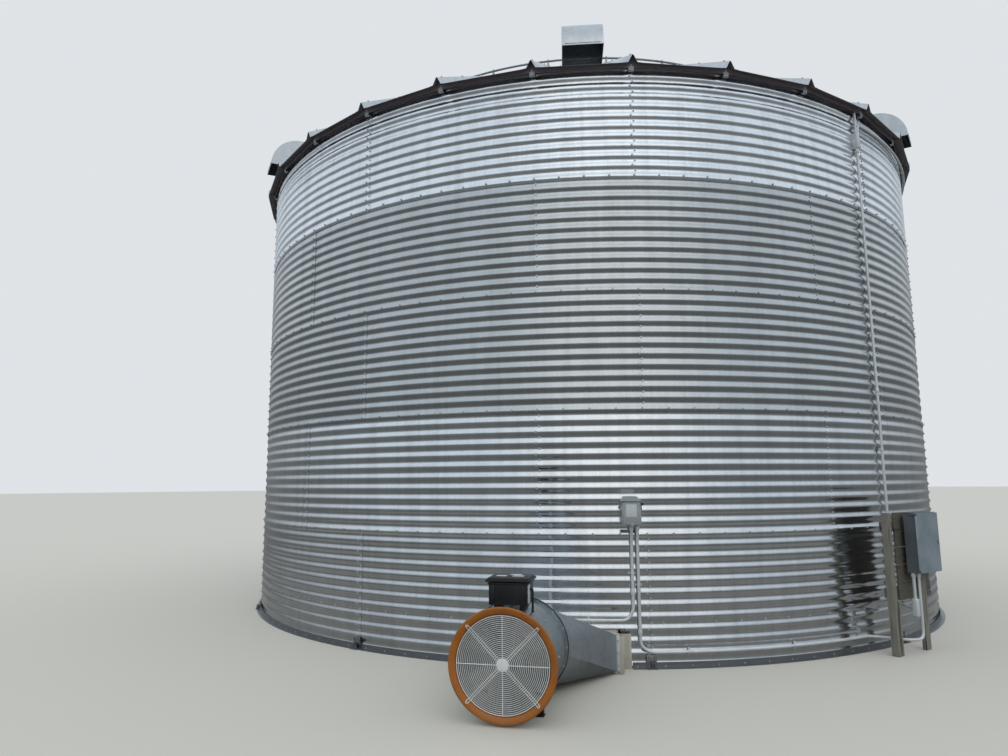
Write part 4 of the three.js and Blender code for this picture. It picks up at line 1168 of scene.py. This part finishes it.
def add_duct():
    """The square-to-round duct: flat facets drawn from the tube's end to the corners of the flat end."""
    facing = (math.radians(90), 0, 0)
    deselect()
    bpy.ops.mesh.primitive_circle_add(vertices=40, radius=DUCT_ROUND_RADIUS, fill_type="NOTHING",
                                      location=(0, -HOUSING_BACK, FAN_AXIS), rotation=facing)
    ring = apply_place(bpy.context.object)
    deselect()
    bpy.ops.mesh.primitive_plane_add(size=1, location=(0, -DUCT_END, (DUCT_TOP + DUCT_BOTTOM) / 2),
                                     rotation=facing)
    flat = bpy.context.object
    flat.scale = (2 * DUCT_HALF_WIDTH, DUCT_TOP - DUCT_BOTTOM, 1)
    shell = merge([apply_place(flat), ring])
    open_mesh(shell, "VERT")
    bpy.ops.mesh.convex_hull(use_existing_faces=False)
    close_mesh()
    choose_faces(shell, lambda face: abs(face.normal.y) > 0.999)
    bpy.ops.mesh.delete(type="ONLY_FACE")
    shell = close_mesh()
    soften(thicken(shell, 0.003), 0.003, angle_limit=math.radians(20))
    bore, rim, near, far = 0.322, FLANGE_RADIUS, HOUSING_BACK - 0.001, HOUSING_BACK - 0.005
    flange = shade(turned_on_fan([(bore, near), (rim, near), (rim, far), (bore, far), (bore, near)]), 30)
    fan_piece(shade(merge([flange, shell]), 12), "square_to_round_duct", DUCT_ZINC,
              ["fan_transition"])
    edge = DUCT_HALF_WIDTH + 0.025
    foot, head = DUCT_BOTTOM - 0.012, DUCT_TOP + 0.015
    seat = DUCT_END + 0.004
    sides = [block(-edge, edge, DUCT_END, seat, DUCT_TOP - 0.002, head, 0.001),
             block(-edge, edge, DUCT_END, seat, foot, DUCT_BOTTOM + 0.002, 0.001)]
    sides += [side_block(side, DUCT_HALF_WIDTH - 0.002, edge, DUCT_END, seat, foot, head, 0.001)
              for side in (-1, 1)]
    fan_piece(merge(sides), "duct_flat_flange", PIPE_ZINC)
    bolts = [wall_bolt(seat, z, 0.006, side * (DUCT_HALF_WIDTH + 0.012))
             for side in (-1, 1) for z in (0.07, 0.17, 0.27)]
    bolts += [wall_bolt(seat, DUCT_TOP + 0.007, 0.005, -0.60 + i * 0.15) for i in range(9)]
    fan_piece(merge(bolts), "duct_flange_bolts", BRIGHT_ZINC)


def add_collar():
    """The cream frame that closes the gap between the duct and the corrugated wall."""
    near, far = 4.500, DUCT_END - 0.001
    face = far - 0.008
    inner, lining = DUCT_HALF_WIDTH, DUCT_HALF_WIDTH - 0.010
    head = DUCT_TOP + 0.002
    parts = [
        block(-COLLAR_HALF_WIDTH, COLLAR_HALF_WIDTH, face, far, DUCT_TOP - 0.010, head, 0.001),
        block(-inner, inner, near, far, DUCT_TOP - 0.010, DUCT_TOP, 0.001),
        block(-inner, inner, near, far, DUCT_BOTTOM, DUCT_BOTTOM + 0.010, 0.001),
    ]
    for side in (-1, 1):
        parts.append(side_block(side, lining, inner, near, far, DUCT_BOTTOM, DUCT_TOP, 0.001))
        parts.append(side_block(side, lining, COLLAR_HALF_WIDTH, face, far, 0.002, head, 0.001))
    parts = [at_fan(merge(parts))]
    screws = []
    for side in (-1, 1):
        start, end = sorted((wall_azimuth(side * inner), wall_azimuth(side * SKIRT_HALF_WIDTH)))
        skirt = turned_shell([(SKIRT_RADIUS, 0.002), (SKIRT_RADIUS, SKIRT_TOP)], 3, end - start)
        parts.append(turn(thicken(skirt, 0.010, 1), start))
        screws += [turn(wall_bolt(4.598, z, 0.006), wall_azimuth(side * (SKIRT_HALF_WIDTH - 0.022)))
                   for z in (0.05, 0.13, 0.21)]
    finish(shade(merge(parts)), "duct_collar", CREAM, ["entrance_collar"])
    finish(merge(screws), "collar_screws", BRIGHT_ZINC)


def add_control_box():
    """The fan's control box on two feet, with its lid, blank plates and the lead into the housing."""
    left, right, near, far = -0.136, 0.140, 5.770, 5.996
    foot, top = 0.749, 0.905
    parts = [
        block(left, right, near, far, foot, top, 0.006, 3),
        block(left - 0.006, right + 0.006, near - 0.006, far + 0.006, top - 0.016, top - 0.006, 0.002),
    ]
    parts += [block(side - 0.014, side + 0.014, far - 0.004, far + 0.005, foot + 0.01, top - 0.02, 0.002)
              for side in (left + 0.03, right - 0.03)]
    parts += [block(side - 0.019, side + 0.019, near + 0.021, far - 0.050, 0.716, foot + 0.004, 0.002)
              for side in (-0.090, 0.094)]
    fan_piece(merge(parts), "control_case", BLACK, ["control_box"])
    parts = [
        block(left - 0.021, right + 0.021, near - 0.017, far + 0.017, top + 0.001, top + 0.018, 0.005, 3),
        block(left - 0.009, right + 0.009, near - 0.007, far + 0.007, top + 0.012, top + 0.029, 0.007, 3),
    ]
    parts += [drum(0.006, 0.004, (side, -out, top + 0.019), "Z", 12, 0.001)
              for side in (left - 0.012, right + 0.012) for out in (near + 0.02, far - 0.02)]
    fan_piece(merge(parts), "control_case_lid", BLACK, ["control_lid"])
    spans = ((-0.105, -0.030, 5.850), (0.015, 0.095, 5.850), (-0.020, 0.065, 5.775))
    plates = [block(start, end, back, back + 0.050, top + 0.0285, top + 0.0305, 0.0005)
              for start, end, back in spans]
    plates.append(block(right - 0.001, right + 0.002, near + 0.120, far - 0.025, foot + 0.012, top - 0.020,
                        0.0005))
    fan_piece(merge(plates), "control_box_plates", PALE_PLATE)
    middle, side, high = -5.900, right + 0.020, 0.850
    low = FAN_AXIS + math.sqrt(HOUSING_RADIUS ** 2 - side ** 2) + 0.006
    route = rounded([(right + 0.001, middle, high), (side, middle, high), (side, middle, low)], 0.018)
    parts = [drum(0.011, 0.008, (right + 0.004, middle, high), "X", 12, 0.001),
             drum(0.011, 0.012, (side, middle, low + 0.006), "Z", 12, 0.001),
             rod(route, 0.008, 12)]
    fan_piece(merge(parts), "control_lead_in_glands", BLACK, ["control_cable"])


# Electrical pieces

def pipe_strap(azimuth, z, upright=True):
    """A strap over a pipe on the wall, with a screw in each foot."""
    half_width, seat, radius = 0.010, -WALL_OUTER + 0.004, PIPE_RADIUS + 0.0015
    angles = [i * math.pi / 8 for i in range(9)]
    arch = [(-0.032, seat), (-0.017, seat)]
    arch += [(-radius * math.cos(a), -PIPE_LAY - radius * math.sin(a)) for a in angles]
    arch += [(0.017, seat), (0.032, seat)]
    band = sheet_strip([(x, y, -half_width) for x, y in arch], (0, 0, 2 * half_width), 0.0015)
    screws = [wall_bolt(WALL_OUTER - 0.003, 0, 0.005, side) for side in (-0.025, 0.025)]
    piece = merge([*screws, band])
    if not upright:
        piece.matrix_world = Matrix.Rotation(math.radians(90), 4, "Y")
        apply_place(piece)
    return turn(piece, azimuth, (0, 0, z))


def coupling(place):
    """A threaded collar where two lengths of an upright pipe meet."""
    nut = drum(PIPE_RADIUS + 0.007, 0.0175, place, "Z", 6, 0.001)
    return merge([nut, drum(PIPE_RADIUS + 0.005, 0.050, place, "Z", 20, 0.0015)])


def conduit(route, bend):
    """A pipe along a route, its corners rounded."""
    return rod(rounded(route, bend), PIPE_RADIUS, 14)


def down_from_box(azimuth, low):
    """A conduit's way from the box's underside to the wall and down it."""
    return [spot(azimuth, BOX_LINE, BOX_BOTTOM), spot(azimuth, BOX_LINE, BOX_BOTTOM - 0.060),
            spot(azimuth, PIPE_LAY, BOX_BOTTOM - 0.150), spot(azimuth, PIPE_LAY, low)]


def add_disconnect():
    """The box on the wall with its gabled hood, blank plate and lever."""
    near, front = 4.562, WALL_OUTER + 0.100
    left, right = -0.064, 0.098
    middle = (left + right) / 2
    hood = block(-0.076, 0.104, near, WALL_OUTER + 0.118, BOX_TOP - 0.002, BOX_TOP + 0.042)
    choose_faces(hood, lambda face: face.normal.z > 0.9)
    bpy.ops.transform.resize(value=(0.567, 1, 1), center_override=(-0.002, 0, 0))
    close_mesh()
    parts = [
        shade(soften(hood, 0.003)),
        block(left + 0.005, right - 0.005, front - 0.002, front + 0.004, BOX_BOTTOM + 0.006, BOX_TOP - 0.006,
              0.002),
        block(middle - 0.013, middle + 0.013, front - 0.004, front + 0.012, BOX_BOTTOM - 0.007,
              BOX_BOTTOM + 0.018, 0.002),
    ]
    for side in (0.016, 0.070):
        parts.append(drum(0.019, 0.004, (side, -BOX_LINE, BOX_BOTTOM - 0.002), "Z", 20, 0.0008))
    parts.append(block(left, right, near, front, BOX_BOTTOM, BOX_TOP, 0.004, 3))
    finish(turn(merge(parts), BOX_AZIMUTH), "disconnect_case", BOX_ENAMEL, ["disconnect_box"])
    parts = [block(-0.036, 0.060, front + 0.003, front + 0.006, 1.285, 1.396, 0.001)]
    parts += [drum(0.004, 0.003, (side, -front - 0.007, z), "Y", 12, 0.0008)
              for side in (-0.029, 0.053) for z in (1.292, 1.389)]
    finish(turn(merge(parts), BOX_AZIMUTH), "disconnect_blank_plate", PALE_PLATE)
    parts = [block(0.0985, 0.110, BOX_LINE, WALL_OUTER + 0.064, 1.344, 1.408, 0.0015),
             drum(0.013, 0.012, (0.1045, -WALL_OUTER - 0.052, 1.358), "X", 20, 0.001),
             block(0.099, 0.116, WALL_OUTER + 0.042, WALL_OUTER + 0.130, 1.388, 1.408, 0.004, 3)]
    finish(turn(merge(parts), BOX_AZIMUTH), "disconnect_handle", BLACK, ["disconnect_lever"])


def add_pipes():
    """The conduits from the box to the fan and to the stand, and the one that comes down from the eave."""
    azimuth, level = FAN_PIPE_AZIMUTH, FAN_PIPE_LEVEL
    side, entry = 0.043, 0.850  # where it goes into the control box
    route = [*down_from_box(azimuth, 0.480), spot(4.7, PIPE_LAY, level), *along_wall(3, -3.6, level),
             fan_spot(side, 4.755, 0.425), fan_spot(side, 5.655, entry), fan_spot(side, 5.769, entry)]
    parts = [conduit(route, 0.060), pipe_strap(azimuth, 0.800), pipe_strap(0.5, level, False),
             coupling(spot(azimuth, BOX_LINE, BOX_BOTTOM - 0.016)), coupling(spot(azimuth, PIPE_LAY, 0.640))]
    finish(merge(parts), "conduit_to_fan", PIPE_ZINC, ["fan_pipe"])
    azimuth, level = PANEL_PIPE_AZIMUTH, PANEL_PIPE_LEVEL
    entry = CABINET[2] - 0.001
    left, right = (0.010, 4.930), (0.070, 4.945)  # where the two conduits go into the cabinet
    route = [*down_from_box(azimuth, 0.190), spot(7.0, PIPE_LAY, level), *along_wall(9, 35.4, level),
             stand_spot(-0.080, 4.930, level), stand_spot(*right, level), stand_spot(*right, entry)]
    parts = [conduit(route, 0.070), pipe_strap(azimuth, 0.700), pipe_strap(11.3, level, False),
             pipe_strap(24.1, level, False), coupling(spot(azimuth, BOX_LINE, BOX_BOTTOM - 0.016)),
             coupling(spot(azimuth, PIPE_LAY, 0.300)), coupling(stand_spot(*right, 0.710))]
    finish(merge(parts), "conduit_to_stand", PIPE_ZINC, ["panel_pipe"])
    azimuth, level = RISER_AZIMUTH, BRANCH_LEVEL
    lay = PIPE_LAY + 0.010
    drop = conduit([spot(azimuth, PIPE_LAY, 5.545), spot(azimuth, PIPE_LAY, 0.400),
                    stand_spot(*left, 0.400), stand_spot(*left, entry)], 0.060)
    branch = conduit([spot(azimuth + 0.3, lay, 5.300), spot(azimuth + 0.3, lay, level),
                      *along_wall(azimuth + 2, 80, level, lay), spot(81, lay, 5.545)], 0.060)
    case = merge([block(-0.025, 0.025, 4.565, WALL_OUTER + 0.041, 5.130, 5.310, 0.008, 3),
                  block(-0.021, 0.021, WALL_OUTER + 0.039, WALL_OUTER + 0.045, 5.138, 5.302, 0.002)])
    elbow = block(-0.024, 0.024, 4.906, 4.956, 0.335, 0.495, 0.010, 3)
    parts = [drop, branch, turn(case, azimuth), turn(elbow, STAND_AZIMUTH, (left[0], 0, 0)),
             coupling(spot(azimuth, PIPE_LAY, 5.110)), coupling(spot(azimuth, PIPE_LAY, 2.500)),
             coupling(stand_spot(*left, 0.710))]
    parts += [pipe_strap(azimuth, z) for z in (4.3, 3.1, 1.9, 0.7)]
    finish(merge(parts), "conduit_from_eave", PIPE_ZINC, ["eave_pipe"])


# Panel stand

def plank(left, right, near, far, bottom, top, along, seed):
    """A sawn board with worn edges and a slight warp along its length, which runs up or sideways."""
    piece = block(left, right, near, far, bottom, top)
    open_mesh(piece)
    bpy.ops.mesh.subdivide(number_cuts=6)
    close_mesh()
    soften(piece, 0.003, angle_limit=math.radians(40))
    lean = math.sin(seed * 12.9898) * 0.0015
    for vertex in piece.data.vertices:
        reach = vertex.co.z - (bottom + top) / 2 if along == "up" else vertex.co.x - (left + right) / 2
        vertex.co.y += lean * math.sin(reach * 5 + seed)
    return shade(piece, 30)


def stand_piece(piece, name, material, nodes=(), body="bin"):
    return finish(turn(piece, STAND_AZIMUTH), name, material, nodes, body)


def add_stand():
    """Two posts and a stake, five boards on two rails, and their nails."""
    front, face = POST_FRONT, BOARD_FACE
    post = plank(POST_LEFT, -0.216, front - 0.068, front - 0.001, 0.0, POST_TOP, "up", 1)
    stake = plank(-0.2155, -0.165, front - 0.050, front - 0.006, 0.0, 0.480, "up", 4)
    stand_piece(merge([stake, post]), "stand_left_post", PALE_WOOD, ["left_post"])
    post = plank(0.215, 0.295, face + 0.001, front - 0.002, 0.0, POST_TOP, "up", 2)
    stand_piece(post, "stand_right_post", PALE_WOOD, ["right_post"])
    planks = []
    for i in range(BOARD_COUNT):
        foot = BOARD_FOOT + i * BOARD_HEIGHT
        trim = 0.006 * math.sin(i * 2.3)
        planks.append(plank(BOARD_LEFT + trim, BOARD_RIGHT - trim, face - 0.024, face - 0.001, foot + 0.003,
                            foot + BOARD_HEIGHT - 0.003, "sideways", i + 3))
    planks += [plank(POST_LEFT, BOARD_RIGHT, face - 0.048, face - 0.0235, top - 0.090, top, "sideways", 11)
               for top in (1.200, 0.600)]
    # the planks and rails take the darkened timber: painted shade
    stand_piece(merge(planks), "stand_planks_and_rails", SHADED_BOARD_WOOD, ["stand_boards"])
    nails = [drum(0.004, 0.003, (-0.241, -front + 0.0005, z), "Y", 10) for z in (0.53, 0.57, 1.13, 1.17)]
    nails += [drum(0.004, 0.003, (side, -face, BOARD_FOOT + (i + 0.5) * BOARD_HEIGHT + aside), "Y", 10)
              for i in range(BOARD_COUNT) for side in (-0.06, 0.42) for aside in (-0.03, 0.03)]
    stand_piece(merge(nails), "stand_nails", DARK_ZINC)


def add_cabinet():
    """The cabinet with its switches, and the door on its hinges."""
    left, right, bottom, top = CABINET
    back, front = CABINET_BACK, CABINET_FRONT
    side, out = HINGE
    shell = block(left, right, back, front, bottom, top)
    choose_faces(shell, lambda face: face.normal.y < -0.9)
    bpy.ops.mesh.inset(thickness=0.014)
    extrude((0, front - back - 0.012, 0))
    close_mesh()
    soften(shell, 0.0025)
    parts = []
    for low in (bottom + 0.002, top - 0.018):
        high = low + 0.016
        parts.append(block(side - 0.007, left + 0.004, front - 0.040, front - 0.002, low, high, 0.001))
        parts.append(block(side - 0.007, side + 0.007, front - 0.010, out + 0.007, low, high, 0.003))
    parts += [drum(0.003, 0.024, (side, -out, z), "Z", 16) for z in (bottom + 0.024, top - 0.024)]
    lip = block(left - 0.004, right + 0.004, back + 0.01, front - 0.004, top - 0.002, top + 0.003, 0.001)
    case = shade(merge([*parts, lip, shell]))
    # the case takes the darker enamel: painted shade
    stand_piece(case, "cabinet_case", CASE_ENAMEL_PAINTED_SHADE, ["cabinet_shell"])
    gear = [block(0.060, 0.290, back + 0.012, back + 0.030, 0.800, 1.210, 0.002)]
    gear += [block(column, column + 0.060, back + 0.028, back + 0.070, low, low + 0.046, 0.003)
             for low in (0.850 + i * 0.052 for i in range(6)) for column in (0.110, 0.190)]
    stand_piece(merge(gear), "cabinet_switchgear", BLACK)
    near, far = front + 0.005, front + 0.019
    leaf = block(left + 0.006, right + 0.003, near, far, bottom + 0.002, top - 0.002)
    choose_faces(leaf, lambda face: abs(face.normal.y) > 0.9)
    bpy.ops.mesh.inset(thickness=0.012)
    bpy.ops.transform.resize(value=(1, 0.86, 1))
    close_mesh()
    soften(leaf, 0.002)
    parts = [
        drum(0.0068, top - bottom - 0.050, (side, -out, (bottom + top) / 2), "Z", 20, 0.001),
        block(side, left + 0.010, out - 0.003, out + 0.0065, bottom + 0.026, top - 0.026, 0.001),
        block(right - 0.030, right - 0.020, far - 0.002, far + 0.009, 0.990, 1.020, 0.003, 3),
        drum(0.011, 0.003, (right - 0.025, -far - 0.001, 1.005), "Y", 24, 0.001),
    ]
    stand_piece(shade(merge([*parts, leaf])), "cabinet_leaf_and_latch", GREY_ENAMEL,
                ["cabinet_door"], "cabinet_leaf")


# Floor and sky

def add_floor():
    """A pale floor. The metal sees it as a pale pad in the darker ground of a yard."""
    pad_edge, ground_edge = 6.2, 6.8
    deselect()
    bpy.ops.mesh.primitive_circle_add(vertices=96, radius=150, fill_type="NGON")
    floor = bpy.context.object
    floor.name = "studio_floor"
    material, tree, shader = start_material("studio_floor", Roughness=0.9)
    away = node(tree, "ShaderNodeVectorMath", {0: object_place(tree)}, operation="LENGTH").outputs["Value"]
    beyond = rescale(tree, away, pad_edge, ground_edge)
    ground = blend_colours(tree, beyond, (0.34, 0.32, 0.28), (0.17, 0.165, 0.155))
    seen = node(tree, "ShaderNodeLightPath").outputs["Is Camera Ray"]
    tree.links.new(blend_colours(tree, seen, ground, (0.70, 0.65, 0.565)), shader.inputs["Base Color"])
    floor.data.materials.append(material)


def add_sky():
    """Soft light from a pale sky with a broad glow, darker at the horizon, before a plain backdrop."""
    world = bpy.data.worlds.new("studio")
    bpy.context.scene.world = world
    world.use_nodes = True
    tree = world.node_tree
    direction = node(tree, "ShaderNodeTexCoord").outputs["Generated"]
    height = node(tree, "ShaderNodeSeparateXYZ", {"Vector": direction}).outputs[2]
    low = rescale(tree, height, 0.0, 0.42)
    sky = blend_colours(tree, low, (0.17, 0.17, 0.17), (0.80, 0.89, 0.97))
    toward = node(tree, "ShaderNodeVectorMath", {0: direction, 1: GLOW}, operation="DOT_PRODUCT")
    glow = calculate(tree, "POWER", rescale(tree, toward.outputs["Value"], 0.78, 1.0), 1.6)
    bright = blend_colours(tree, calculate(tree, "MULTIPLY", glow, 0.40), sky, (2.0, 2.0, 1.96))
    seen = node(tree, "ShaderNodeLightPath").outputs["Is Camera Ray"]
    background = tree.nodes["Background"]
    tree.links.new(blend_colours(tree, seen, bright, (0.74, 0.77, 0.80)), background.inputs["Color"])
    add_light("key_light", place=(4, -20, 16), target=(0, 0, 3), size=(14, 14), power=200,
              tint=(1.0, 0.99, 0.97))
    bpy.context.scene.view_settings.view_transform = "Standard"


# The whole scene

add_camera()
add_floor()
add_sky()
add_wall()
add_wall_bolts()
add_base()
add_roof()
add_eave()
add_vents()
add_hoop()
add_peak()
add_bell()
add_housing()
add_guard()
add_rotor()
add_motor()
add_saddle()
add_duct()
add_collar()
add_control_box()
add_disconnect()
add_pipes()
add_stand()
add_cabinet()
